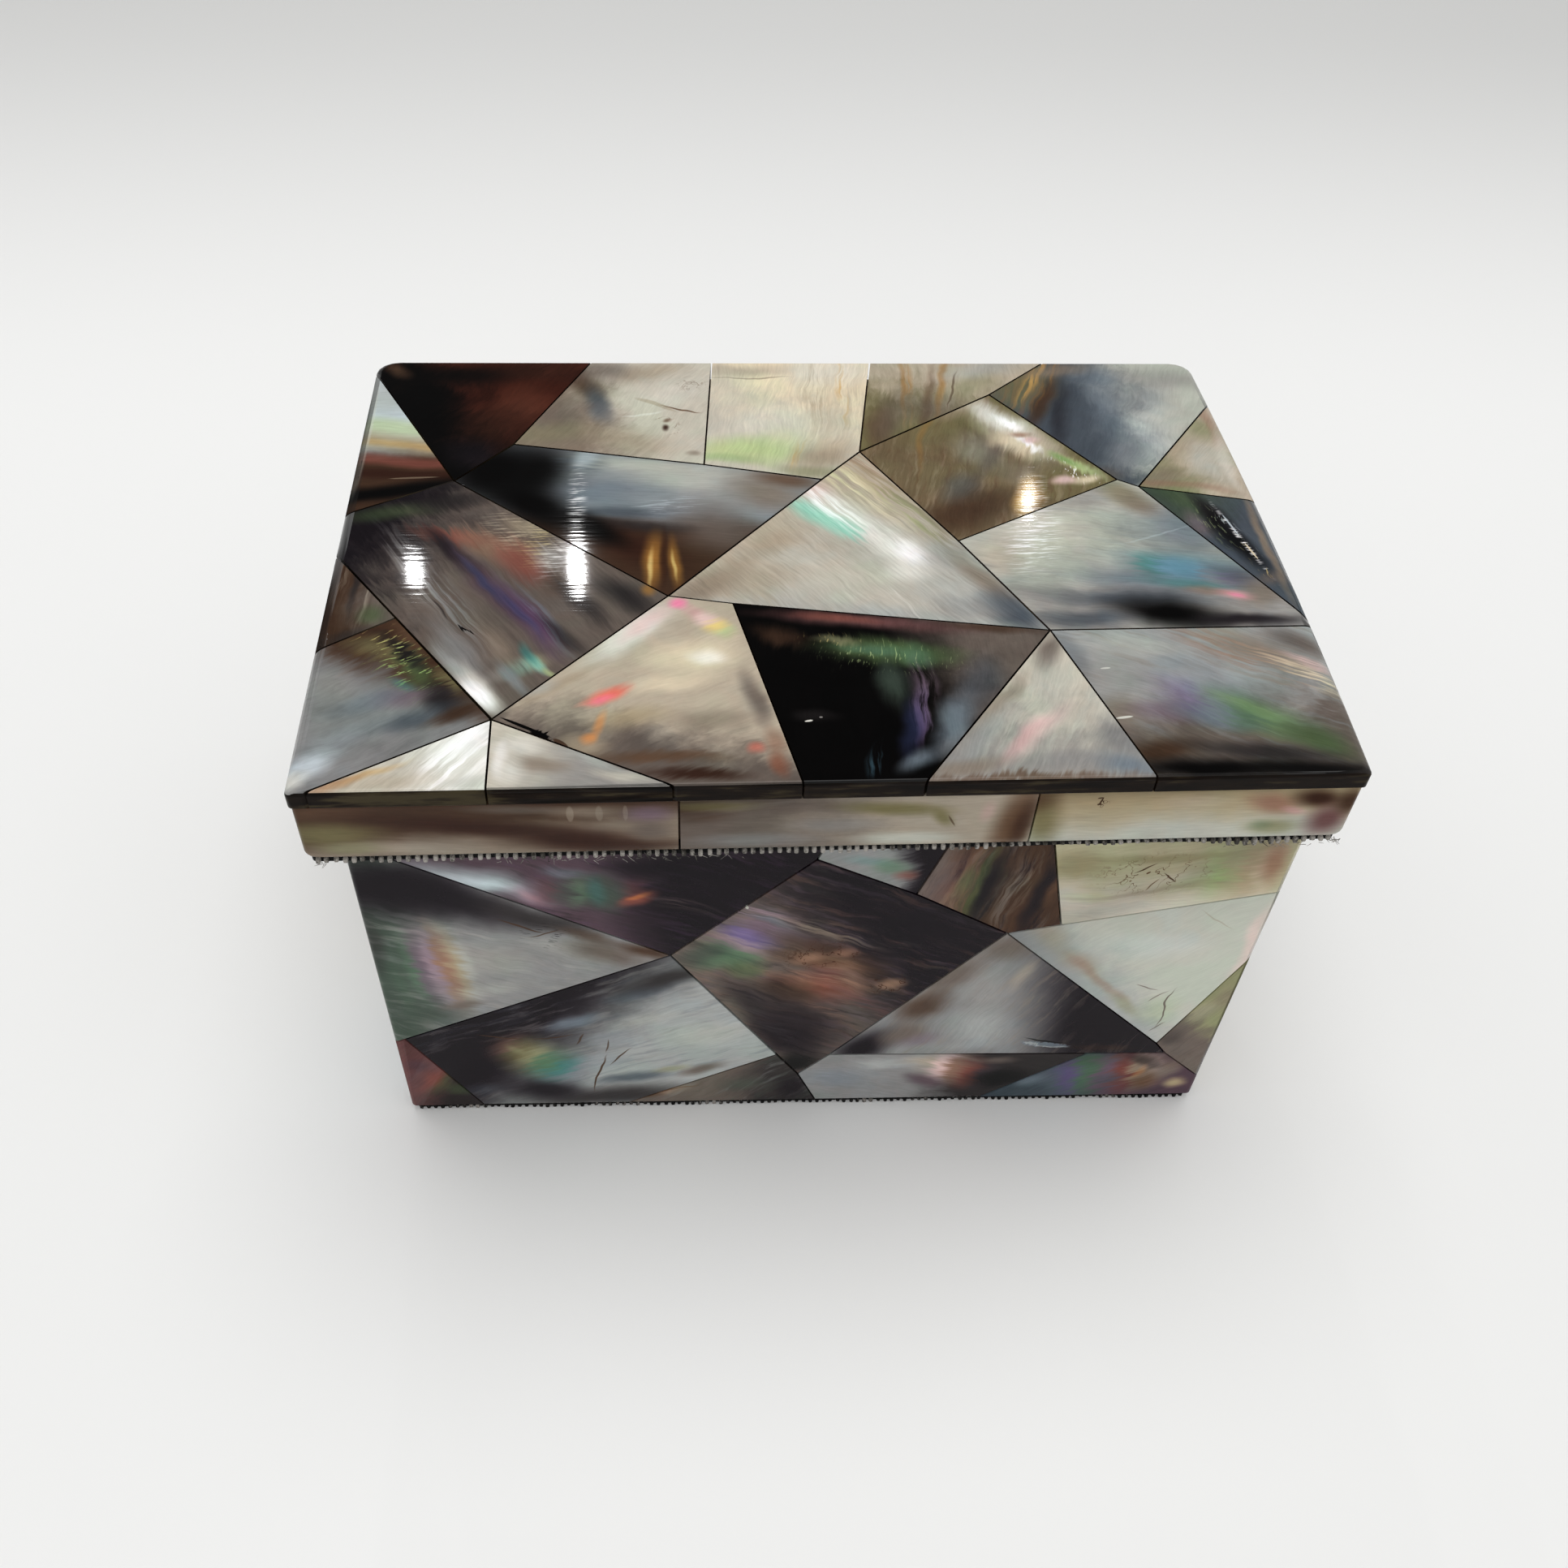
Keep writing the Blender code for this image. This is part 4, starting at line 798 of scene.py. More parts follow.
FRONT_RECIPES = {
    1: dict(
        slot="shell_silver", seed=31, grain=-20, feather=4, contrast=0.25, orient=0.3, marble=0.9,
        glow=(("ash", 0.4), ("grey", 0.4)), ground=("pine", "ash", 0, (9, 42), 7),
        washes=(
            ("plain", "grey", 18, 43.6, 6, 3.6, 0, 0.9), ("plain", "grey", 30, 46, 6, 2, -18, 0.6),
            ("plain", "mist", 17, 36, 6, 1.6, 12, 0.3),
            ("rainbow", "pine fern heather mauve clay tan mist grey", 10, 42, 4.6, 9.5, 4, 0.9),
            ("plain", "clay", 11.8, 42, 0.7, 6, 4, 0.35), ("plain", "night", 5, 62, 11, 6.5, 0, 1.0),
            ("plain", "night", 14, 58.6, 13, 4, -22, 0.95), ("plain", "soot", 27, 54, 9, 2.2, -22, 0.8),
            ("plain", "fern", 3.4, 36, 1.2, 9, 2, 0.2), ("plain", "pine", 5, 28, 6, 3, 10, 0.8),
            ("plain", "dusk", 37, 45, 6, 2.2, -22, 0.95), ("plain", "umber", 43.6, 45, 4, 1.5, -25, 0.9),
            ("plain", "umber", 34, 49.4, 5, 1.2, -26, 0.6), ("line", "umber", 24, 52.4, 4, 0.25, -30, 0.8),
            ("line", "umber", 27, 50.5, 3, 0.22, 20, 0.7), ("flecks", "ink", 28, 50, 4, 3, 0, 0.6),
            ("plain", "dusk", 12, 31.5, 3, 1, 10, 0.7), ("plain", "soot", 1, 48, 1.4, 6, 0, 0.5),
        )),
    2: dict(
        slot="shell_smoke", seed=32, grain=-24, feather=4, contrast=0.4, orient=0.35, marble=0.8,
        glow=(("soot", 0.5), ("plum", 0.25)), ground=("mulberry", "night", 0, (42, 58), 7),
        washes=(
            ("plain", "storm", 17, 64, 9, 2.4, -18, 1.0), ("plain", "frost", 19.4, 62.8, 6, 1.1, -18, 0.7),
            ("plain", "mauve", 26, 60, 4, 1.5, -22, 0.8), ("plain", "rose", 25.6, 60.2, 2, 0.7, -20, 0.3),
            ("plain", "mulberry", 31, 59.6, 5, 2, -18, 0.8),
            ("rainbow", "mauve brick pine fern pine mulberry copper night", 35, 61, 7.5, 3.6, -4, 0.7),
            ("plain", "steel", 31, 65.6, 3, 1.1, -6, 0.5), ("plain", "pine", 38, 60.4, 3, 4, 8, 0.9),
            ("plain", "teal", 36, 61, 1.4, 3, 8, 0.35), ("plain", "copper", 42.6, 59, 2.8, 1.3, 28, 1.0),
            ("plain", "flame", 42.8, 59.7, 1.7, 0.5, 28, 0.45), ("plain", "night", 53, 60, 8, 5, 20, 0.9),
            ("streak", "dusk", 50, 57, 6, 1.2, -24, 0.4), ("plain", "night", 45, 66, 7, 2, -6, 0.8),
        )),
    3: dict(
        slot="shell_umber", seed=33, grain=-26, feather=7, contrast=0.8, pitch=0.8, patchy=1.0, orient=0.5,
        marble=1.2, glow=(("clay", 0.25), ("soot", 0.6), ("heather", 0.25)),
        ground=("dusk", "night", 30, (71, 47), 11),
        washes=(
            ("rainbow", "steel mauve heather violet mauve fern moss umber", 58.4, 49, 6.5, 4.6, -118, 0.85),
            ("streak", "mauve", 61.5, 55, 6, 2, -28, 0.7), ("ragged", "heather", 64, 50, 7, 2, -28, 0.6),
            ("plain", "steel", 62.6, 53.4, 3.4, 0.8, -28, 0.5),
            ("plain", "pine", 53, 44.6, 4, 2.4, 30, 0.8), ("plain", "fern", 55.8, 43, 4, 1.8, 20, 0.6),
            ("plain", "moss", 59, 41, 3, 2, 20, 0.5), ("streak", "taupe", 72, 50, 8, 1.4, -24, 0.7),
            ("plain", "umber", 71, 46, 8, 1.8, -22, 0.7), ("ragged", "bark", 71, 42.6, 8, 2, -18, 0.9),
            ("plain", "clay", 69, 43.6, 2.6, 1.3, 14, 0.6),
            ("plain", "clay", 74.6, 44.6, 2.2, 1.1, 10, 0.6), ("veins", "cocoa", 72, 44, 6, 3, 0, 1.0),
            ("rainbow", "umber clay copper clay umber heather", 74, 36.6, 8, 5, 20, 0.6),
            ("ragged", "rust", 70, 36, 7, 2, -20, 0.5), ("streak", "clay", 74, 37, 7, 1.3, -18, 0.6),
            ("plain", "umber", 66, 35, 6, 2.4, -24, 0.7), ("plain", "clay", 83, 36, 2.2, 1.3, 16, 0.8),
            ("veins", "cocoa", 83.2, 36, 3.4, 2.4, 0, 1.0), ("streak", "brick", 79, 31, 6, 1.6, -40, 0.7),
            ("plain", "night", 86, 52, 14, 4, -26, 0.95), ("plain", "night", 66, 20, 7, 4, -50, 0.8),
            ("streak", "ash", 65, 24, 6, 1.4, -56, 0.35), ("plain", "ink", 69, 12, 4, 3, 0, 0.9),
            ("plain", "soot", 59, 33, 6, 2.4, -56, 0.6), ("plain", "night", 68, 25, 12, 6, -52, 0.75),
            ("streak", "clay", 73, 28, 6, 1, -40, 0.35), ("exact", "mist", 58.8, 56.6, 0.3, 0.5, 20, 0.7),
        )),
    4: dict(
        slot="shell_smoke", seed=34, grain=20, feather=4, contrast=0.3, orient=0.4,
        ground=("ash", "night", 0, (82.4, 65), 2.4),
        washes=(
            ("plain", "fern", 80, 66, 2.2, 1.5, 0, 0.55), ("plain", "teal", 76.5, 67.4, 3, 1, -10, 0.25),
            ("plain", "copper", 82.2, 64, 1.5, 1.2, 0, 0.6),
        )),
    5: dict(
        slot="shell_umber", seed=35, grain=80, feather=5, contrast=0.7, pitch=1.1, patchy=0.9, orient=0.4,
        glow=(("night", 0.7), ("dusk", 0.5)), ground=("dusk", "umber", 0, (90, 60), 3),
        washes=(
            ("rainbow", "heather brick clay moss soot umber dusk", 94, 61, 6, 9, -10, 0.6),
            ("plain", "moss", 91.6, 62, 0.9, 3.4, -12, 0.5),
            ("plain", "night", 95.2, 60.5, 1, 8, -12, 0.9), ("streak", "dusk", 99.4, 60, 1.6, 8, -6, 0.9),
            ("plain", "night", 103.6, 58, 1.2, 9, -4, 0.85),
            ("streak", "taupe", 101.4, 62, 0.7, 6, -6, 0.6), ("plain", "bark", 106, 63, 0.8, 5, -4, 0.6),
        )),
    6: dict(
        slot="shell_sand", seed=36, grain=8, feather=4, contrast=0.2, patchy=0.35, orient=0.4,
        ground=("pearl", "straw", 84, (120, 60.6), 5),
        washes=(
            ("plain", "olive", 108, 66.5, 5, 2.6, 0, 0.5), ("plain", "leaf", 130, 62.4, 5, 1.8, 12, 0.4),
            ("rainbow", "straw khaki leaf khaki clay rose khaki", 133, 65, 6, 6, 8, 0.4),
            ("plain", "clay", 138.6, 66, 1.8, 4, 16, 0.9), ("plain", "mist", 117, 55.6, 8, 1.4, 9, 0.5),
            ("plain", "lime", 112, 59, 4, 1.4, 6, 0.3), ("plain", "pearl", 124, 63, 5, 1.6, 4, 0.4),
            ("veins", "bark", 121, 64.5, 7, 3.6, 0, 1.0), ("line", "umber", 119, 66, 2.2, 0.2, 34, 0.8),
            ("line", "umber", 124, 63.4, 2.4, 0.2, -40, 0.8),
            ("line", "bark", 121.5, 62, 1.8, 0.2, 60, 0.8),
            ("plain", "taupe", 122, 60.2, 12, 0.6, 9, 0.35), ("plain", "olive", 121, 68, 9, 0.9, 0, 0.5),
        )),
    7: dict(
        slot="shell_pearl", seed=37, grain=40, feather=3, contrast=0.12, patchy=0.2, fine=0.25, orient=0.3,
        ground=("fog", "mist", 38, (120, 38), 6),
        washes=(
            ("plain", "putty", 107, 49.4, 3.6, 2.4, -40, 0.75),
            ("plain", "putty", 113, 41.6, 6, 1.8, -44, 0.7),
            ("plain", "clay", 115, 39.4, 5, 0.9, -46, 0.35),
            ("plain", "clay", 120, 33.6, 5, 1.1, -46, 0.4), ("plain", "mist", 121, 50, 9, 3.4, 6, 0.7),
            ("plain", "frost", 124, 46, 8, 3, 0, 0.25), ("plain", "leaf", 130, 27, 4, 3.4, 60, 0.22),
            ("plain", "khaki", 123.6, 28.6, 3.4, 1.4, -46, 0.5),
            ("plain", "blush", 140.6, 46, 1.2, 9, 0, 0.5), ("line", "dusk", 131, 28, 7, 0.2, 84, 0.9),
            ("line", "dusk", 127, 34, 2.6, 0.2, -20, 0.7),
            ("line", "dusk", 129.4, 31.5, 2.4, 0.18, 50, 0.6),
            ("line", "putty", 134, 52.6, 5, 0.16, -40, 0.6),
            ("line", "dusk", 130.6, 22.4, 2.4, 0.2, 60, 0.7),
        )),
    8: dict(
        slot="shell_smoke", seed=38, grain=60, feather=5, contrast=0.35, orient=0.3,
        ground=("dusk", "khaki", 60, (136.6, 23), 3),
        washes=(
            ("plain", "putty", 137, 26.6, 3, 2, 50, 0.5), ("plain", "soot", 133.6, 18.6, 2.4, 2, 0, 0.4),
            ("plain", "taupe", 140.4, 31, 2, 3, 0, 0.5),
        )),
    9: dict(
        slot="shell_umber", seed=39, grain=64, feather=4, contrast=0.25, patchy=0.4, drift=4, orient=0.3,
        marble=0.4, glow=(("taupe", 0.3),), ground=("ash", "night", 8, (110, 27), 8),
        washes=(
            ("plain", "fog", 100, 22.6, 5, 5, -8, 0.85), ("plain", "grey", 99, 33, 4, 6, -6, 0.4),
            ("plain", "fog", 98.4, 17, 5, 1.4, 0, 0.4), ("plain", "dusk", 93.4, 38, 6, 3, 52, 0.9),
            ("plain", "dusk", 101, 46, 4, 3.4, 0, 0.9), ("plain", "putty", 104.6, 38, 1.2, 3.6, -14, 0.6),
            ("plain", "umber", 89, 29, 5, 3, 46, 0.8), ("plain", "night", 80, 17, 6, 3.4, 46, 1.0),
            ("plain", "dusk", 86.4, 21, 4, 2.4, 40, 0.9), ("plain", "heather", 89, 19, 3, 1.6, 30, 0.5),
            ("plain", "umber", 122, 15.8, 5, 1, 0, 0.5), ("plain", "night", 121, 24, 7, 8, -40, 0.9),
            ("patch", "steel", 112, 17, 5.5, 1.0, -14, 0.7),
            ("patch", "fog", 109.6, 17.6, 2, 0.5, -20, 0.7), ("line", "ink", 112, 18.2, 5, 0.3, -16, 0.9),
            ("line", "fog", 113, 16.1, 4.5, 0.22, -10, 0.7),
        )),
    10: dict(
        slot="shell_pearl", seed=40, grain=-14, feather=4, contrast=0.25, orient=0.4,
        ground=("ash", "soot", -18, (95, 7.6), 5),
        washes=(
            ("plain", "fog", 85, 11.8, 6, 1.7, -3, 0.85), ("plain", "steel", 76, 7, 4, 2.6, 0, 0.45),
            ("plain", "putty", 91.4, 12, 3.6, 1.3, -8, 0.8),
            ("rainbow", "fog putty blush clay copper mulberry night", 97, 9.6, 6.4, 4.4, -22, 0.85),
            ("plain", "mulberry", 92, 6, 3.2, 1.6, -24, 0.8),
            ("plain", "dusk", 104, 12.4, 3, 0.9, -8, 0.7), ("plain", "ink", 105.5, 6.6, 5, 2.4, 0, 0.95),
        )),
    11: dict(
        slot="shell_smoke", seed=41, grain=30, feather=5, contrast=0.35, orient=0.45,
        ground=("slate", "mulberry", 0, (123, 8), 5),
        washes=(
            ("plain", "steel", 111.6, 5.4, 2.4, 1.5, 20, 0.85),
            ("plain", "pine", 119, 11, 6, 1.6, 14, 0.8),
            ("rainbow", "slate steel violet fern heather copper tan cream tan", 124, 7.4, 9.5, 6, 10, 0.8),
            ("plain", "soot", 130.6, 11.4, 3.4, 1.1, -30, 0.6),
            ("plain", "bark", 132, 5.4, 2.6, 2.8, -20, 0.75),
            ("plain", "taupe", 136, 9, 1.8, 2.6, -36, 0.65), ("plain", "tan", 138, 4, 1.8, 1.7, 20, 0.95),
            ("plain", "flame", 130.4, 8.4, 0.7, 1.8, -30, 0.25),
            ("plain", "slate", 125, 5.6, 2.4, 2, 0, 0.5),
        )),
    12: dict(
        slot="shell_umber", seed=42, grain=40, feather=4, contrast=0.3, orient=0.3,
        glow=(("ash", 0.4), ("pine", 0.4)), ground=("dusk", "soot", -10, (61, 7), 7),
        washes=(
            ("plain", "taupe", 46.4, 4, 4, 1.3, 20, 0.9), ("plain", "clay", 45, 3.4, 2, 0.7, 20, 0.4),
            ("plain", "pine", 60, 6, 4, 2, 0, 0.5), ("plain", "umber", 43, 2.4, 2.2, 0.8, 10, 0.7),
            ("line", "bark", 48, 4.6, 5, 0.25, 24, 0.5), ("plain", "night", 68, 4, 2.4, 3, 0, 0.7),
        )),
    13: dict(
        slot="shell_silver", seed=43, grain=24, feather=4, contrast=0.2, patchy=0.4, drift=4, orient=0.3,
        marble=0.5, glow=(("grey", 0.3), ("slate", 0.2)), ground=("night", "fog", -38, (32, 22.6), 10),
        washes=(
            ("plain", "slate", 43, 34.6, 6, 1.6, 24, 0.8), ("plain", "soot", 47, 38, 8, 2, 24, 0.9),
            ("plain", "steel", 30, 26, 4, 1.6, 22, 0.8), ("plain", "storm", 36, 21, 4, 2.4, 10, 0.6),
            ("plain", "night", 12, 12, 8, 8, -30, 1.0), ("plain", "slate", 14, 5, 4, 1.6, 0, 0.35),
            ("plain", "storm", 35, 13.6, 3.4, 2.6, 20, 0.7), ("plain", "mist", 52, 22, 6, 3, 10, 0.5),
            ("plain", "mist", 43, 27, 6, 1.6, 20, 0.3), ("plain", "dusk", 52, 11, 4, 1.3, 24, 0.9),
            ("plain", "soot", 36, 2.4, 15, 3, 6, 0.9), ("plain", "night", 24, 4.6, 6, 3, 0, 0.9),
            ("plain", "slate", 40, 8.4, 6, 1.3, 10, 0.8), ("plain", "khaki", 46.6, 11, 3, 1, 18, 0.6),
            ("rainbow", "umber clay olive khaki fern teal steel slate", 24, 14.6, 7.6, 5, -42, 0.95),
            ("plain", "khaki", 20.6, 17.4, 1.8, 0.9, -40, 0.5), ("plain", "fern", 25, 13, 2, 1, -44, 0.5),
            ("line", "umber", 18, 21.6, 5, 0.25, -10, 0.9), ("line", "umber", 27, 21.8, 4, 0.2, 12, 0.7),
            ("line", "umber", 33.8, 10, 7, 0.28, 76, 0.9), ("line", "umber", 37.5, 15.5, 4, 0.22, 60, 0.8),
            ("line", "umber", 31, 21, 2, 0.2, 70, 0.7), ("line", "umber", 35.4, 19, 2.4, 0.18, 84, 0.7),
        )),
    14: dict(
        slot="shell_night", seed=44, grain=50, feather=4, contrast=0.35, orient=0.4,
        ground=("brick", "soot", -30, (7.4, 7), 4),
        washes=(
            ("rainbow", "heather brick copper moss soot", 5, 8, 3.4, 4, -30, 0.6),
            ("plain", "copper", 5, 8.6, 1.4, 2.2, 20, 0.4), ("plain", "moss", 9, 5, 2, 1.4, 0, 0.4),
            ("plain", "mulberry", 3, 13.4, 2, 2, 0, 0.5),
        )),
}

STRIP_RECIPES = {
    1: dict(
        slot="shell_sand", seed=51, grain=-3, feather=5, contrast=0.2, patchy=0.35, drift=1.5, orient=0.25,
        marble=1, ground=("taupe", "umber", 97, (18, 4.4), 2.4),
        washes=(
            ("plain", "olive", 4, 5, 7, 2.2, 0, 0.9), ("plain", "bark", 4, 9.4, 6, 1.2, 0, 0.7),
            ("plain", "putty", 16, 1.6, 9, 1.2, -4, 0.75), ("plain", "khaki", 7, 2, 4, 1.2, 0, 0.6),
            ("plain", "umber", 15, 8.6, 12, 1.2, -2, 0.6), ("plain", "cocoa", 25, 6, 13, 1.5, -7, 1.0),
            ("plain", "dusk", 31, 9.4, 7, 0.8, -2, 0.7), ("plain", "cocoa", 38, 3, 10, 2.3, -6, 1.0),
            ("plain", "cocoa", 45, 1.4, 8, 1.2, 0, 0.7), ("plain", "taupe", 40, 8.8, 5, 1.1, 0, 0.8),
            ("plain", "heather", 48.5, 8, 3, 1.6, 0, 0.8), ("plain", "dusk", 48.6, 4.6, 2.6, 1.8, 0, 0.9),
            ("exact", "putty", 37.6, 8.4, 0.6, 1.8, 0, 0.4),
            ("exact", "putty", 41.6, 8.4, 0.6, 1.8, 0, 0.3),
            ("exact", "putty", 45.2, 8.4, 0.4, 1.8, 0, 0.3), ("exact", "mist", 26, 0.1, 26, 0.2, 0, 0.4),
        )),
    2: dict(
        slot="shell_silver", seed=52, grain=0, feather=4, contrast=0.15, patchy=0.3, drift=1.5, orient=0.2,
        marble=1, ground=("dusk", "putty", 10, (75, 5), 14),
        washes=(
            ("plain", "umber", 54, 8.4, 5, 2, 0, 0.7), ("plain", "olive", 57, 9.4, 7, 0.9, 0, 0.7),
            ("plain", "ash", 63, 2, 8, 1.4, 0, 0.7), ("plain", "dusk", 72, 9, 8, 1.2, 0, 0.7),
            ("plain", "ash", 75, 5, 6, 1.4, 0, 0.5), ("plain", "mist", 84.6, 1.8, 7, 1.3, 0, 0.95),
            ("plain", "olive", 83, 8.3, 7, 1.3, -4, 0.98), ("plain", "olive", 89.6, 6.4, 2, 1.1, -52, 0.9),
            ("line", "umber", 91, 5.6, 1.6, 0.2, -66, 0.6), ("plain", "putty", 93.6, 6, 1.4, 3, 0, 0.8),
            ("plain", "rose", 96, 7, 1, 2, -10, 0.3), ("plain", "bark", 100, 5, 2.4, 8, -12, 1.0),
            ("plain", "cocoa", 101.4, 4, 1.4, 5, -8, 0.7), ("exact", "mist", 78, 0.1, 26, 0.2, 0, 0.4),
        )),
    3: dict(
        slot="shell_sand", seed=53, grain=0, feather=4, contrast=0.15, patchy=0.3, drift=1.5, orient=0.3,
        marble=1, ground=("mist", "tan", 90, (122, 5.4), 4),
        washes=(
            ("plain", "bark", 103, 8.4, 3, 2.6, 0, 0.98), ("plain", "olive", 104.6, 4.4, 2.6, 4, 0, 0.9),
            ("plain", "tan", 112, 6, 5, 4, 0, 0.6), ("plain", "mist", 125, 2.4, 7, 1.4, 0, 0.7),
            ("plain", "oat", 126, 8.4, 5, 1.2, 0, 0.5), ("plain", "clay", 137.4, 7.6, 3.4, 1.8, -16, 0.95),
            ("plain", "khaki", 138.4, 2.6, 3.6, 1.5, 0, 0.85), ("plain", "fern", 136.6, 3, 1.6, 1, 0, 0.3),
            ("plain", "cocoa", 143.6, 8.4, 3.4, 1.7, -12, 0.95),
            ("plain", "brick", 146, 3.8, 2.8, 3, 0, 0.95), ("plain", "umber", 148.4, 7.6, 2, 2.4, 0, 0.95),
            ("plain", "rose", 140.6, 6, 1.8, 0.7, -20, 0.5),
            ("veins", "umber", 112, 8.7, 1.0, 1.0, 0, 1.0),
            ("exact", "umber", 112, 8.8, 0.16, 1.0, -14, 0.9),
            ("exact", "umber", 111.8, 9.5, 0.5, 0.16, 10, 0.9),
            ("exact", "mist", 126, 0.1, 24, 0.2, 0, 0.4),
        )),
}

# Grounds of the sides that the photograph doesn't show
PLAIN_GROUNDS = [
    ("silver", "storm"), ("taupe", "umber"), ("pearl", "oat"), ("soot", "slate"), ("oat", "sand"),
    ("night", "umber"), ("storm", "frost"), ("dusk", "olive"), ("milk", "pearl"), ("ink", "slate"),
    ("grey", "storm"), ("soot", "bark"), ("frost", "silver"),
]
PLAIN_ACCENTS = ["rose", "leaf", "honey", "sea", "violet", "aqua", "rust", "gold", "teal", "blush"]


def plain_recipe(slot, seed, across, up):
    """A made-up recipe for a strip or tile that doesn't show, in keeping with those that do."""
    rng = random.Random(seed)
    first, second = {
        "shell_pearl": ("oat", "milk"), "shell_silver": ("storm", "silver"), "shell_sand": ("taupe", "oat"),
        "shell_smoke": ("slate", "grey"), "shell_umber": ("umber", "taupe"), "shell_night": ("ink", "soot"),
    }[slot]
    washes = []
    for _ in range(5):
        colour = rng.choice(PLAIN_ACCENTS + [first, second])
        washes.append(("plain", colour, rng.uniform(*across), rng.uniform(*up), rng.uniform(4, 12),
                       rng.uniform(1.5, 3.5), rng.uniform(-20, 20), rng.uniform(0.3, 0.6)))
    middle = (sum(across) / 2, sum(up) / 2)
    return dict(slot=slot, seed=seed, grain=rng.uniform(-10, 10), feather=5, contrast=0.35, orient=0.5,
                ground=(first, second, rng.uniform(0, 90), middle, 10), washes=washes)


BEVEL_JOINT = 0.06 * MM
BEVEL_ARRIS = 0.3 * MM
SHORT_EDGE = 0.8 * MM
FLAT_ANGLE = math.radians(0.4)
SHARP_ANGLE = math.radians(12)
SMOOTH_ANGLE = math.radians(50)
PROBE = 0.8 * MM
UPRIGHT = 0.55


def pick_only(piece):
    bpy.ops.object.select_all(action="DESELECT")
    piece.select_set(True)
    bpy.context.view_layer.objects.active = piece


def clean_copy(node, name):
    """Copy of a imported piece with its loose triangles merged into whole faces, left in edit mode."""
    pick_only(frame["nodes"][node])
    bpy.ops.object.duplicate()
    piece = bpy.context.object
    piece.name = name
    piece.data.name = name
    del piece["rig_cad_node"]
    bpy.ops.object.mode_set(mode="EDIT")
    bpy.ops.mesh.select_mode(type="EDGE")
    bpy.ops.mesh.select_all(action="SELECT")
    bpy.ops.mesh.remove_doubles(threshold=WELD)
    bpy.ops.mesh.dissolve_limited(angle_limit=FLAT_ANGLE)
    bpy.ops.mesh.select_all(action="DESELECT")
    return piece


def bevel_edges(piece, chosen, width, segments):
    """Rounds the edges that the test picks, in edit mode."""
    mesh = bmesh.from_edit_mesh(piece.data)
    bpy.ops.mesh.select_all(action="DESELECT")
    count = 0
    for edge in mesh.edges:
        if len(edge.link_faces) == 2 and edge.calc_face_angle(0) > SHARP_ANGLE and chosen(edge):
            edge.select = True
            count += 1
    mesh.select_flush_mode()
    bmesh.update_edit_mesh(piece.data)
    if count:
        bpy.ops.mesh.bevel(offset=width, segments=segments, profile=0.5, affect="EDGES", clamp_overlap=True)


def finish_piece(piece, node):
    bpy.ops.object.mode_set(mode="OBJECT")
    pick_only(piece)
    bpy.ops.object.shade_smooth_by_angle(angle=SMOOTH_ANGLE)
    weighted = piece.modifiers.new("true_faces", "WEIGHTED_NORMAL")
    weighted.keep_sharp = True
    weighted.weight = 100
    bpy.ops.object.modifier_apply(modifier=weighted.name)
    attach(piece, "root")
    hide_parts(node)


def shell_piece(node, finish, outside):
    """A tile or strip with its joint edges broken and its outer arrises rubbed round."""
    piece = clean_copy(node, "polished_" + node)

    def is_arris(edge):
        return all(outside(face) for face in edge.link_faces)

    bevel_edges(piece, is_arris, BEVEL_ARRIS, 3)
    bevel_edges(piece, lambda edge: edge.calc_length() > SHORT_EDGE, BEVEL_JOINT, 1)
    finish_piece(piece, node)
    finish.wear(piece)
    return piece


def outer_test(turn, half_width, half_depth, low, high, aside=0.0):
    """Says whether a face is on the outside of the lid or box, and not in a joint."""
    back = Matrix.Rotation(-turn, 3, "Z")

    def outside(face):
        probe = back @ (face.calc_center_median() + face.normal * PROBE - Vector((aside, 0, 0)))
        return (abs(probe.x) > half_width or abs(probe.y) > half_depth or probe.z > high or probe.z < low)

    return outside


lid_outside = outer_test(LID_TURN, LID_WIDTH / 2, LID_DEPTH / 2, LID_TILES_LOW, LID_TOP)
strip_outside = outer_test(LID_TURN, LID_WIDTH / 2 - STRIP_INSET, LID_DEPTH / 2 - STRIP_INSET,
                           LID_BASE, LID_TILES_LOW)
box_outside = outer_test(0, BOX_WIDTH / 2, BOX_DEPTH / 2, BOX_BASE, BOX_TOP, BOX_ASIDE)

# Colours of the cut edge, from the darkest resin to the warmest shell
EDGE_COLOURS = ("LINEAR", [(0.34, (0.0035, 0.0025, 0.002, 1)), (0.55, (0.010, 0.006, 0.004, 1)),
                           (0.74, (0.045, 0.035, 0.018, 1))])


def edge_finish():
    """Cut edge of the lid's tiles: dark resin over brown shell, with a few warm places."""
    finish = Finish("cut_edge", Roughness=0.3, Specular_IOR_Level=0.06)
    flat = CHARTS["lid_front"].read(finish)
    clouds = finish.grained(flat, 0, 9, 1.2, 4, 3.0, 0.6)
    across = finish.parts(flat)[0]
    warm = finish.clear(across, 3, 10) * finish.clear(across, 24, 32, 1, 0)
    finish.give_colour(finish.ramp(clouds + warm * 0.16, EDGE_COLOURS))
    return finish


def darken_edge(piece, edge):
    """Gives the upright faces of a lid tile the finish of its cut edge."""
    piece.data.materials.append(edge.material)
    for face in piece.data.polygons:
        if abs(face.normal.z) < UPRIGHT:
            face.material_index = 1


def make_lid_tiles():
    edge = edge_finish()
    for number, recipe in LID_RECIPES.items():
        name = f"lid_tile_{number:02d}"
        finish = shell_finish("nacre_" + name, "lid_top", LID_LIGHT, recipe)
        darken_edge(shell_piece(name, finish, lid_outside), edge)


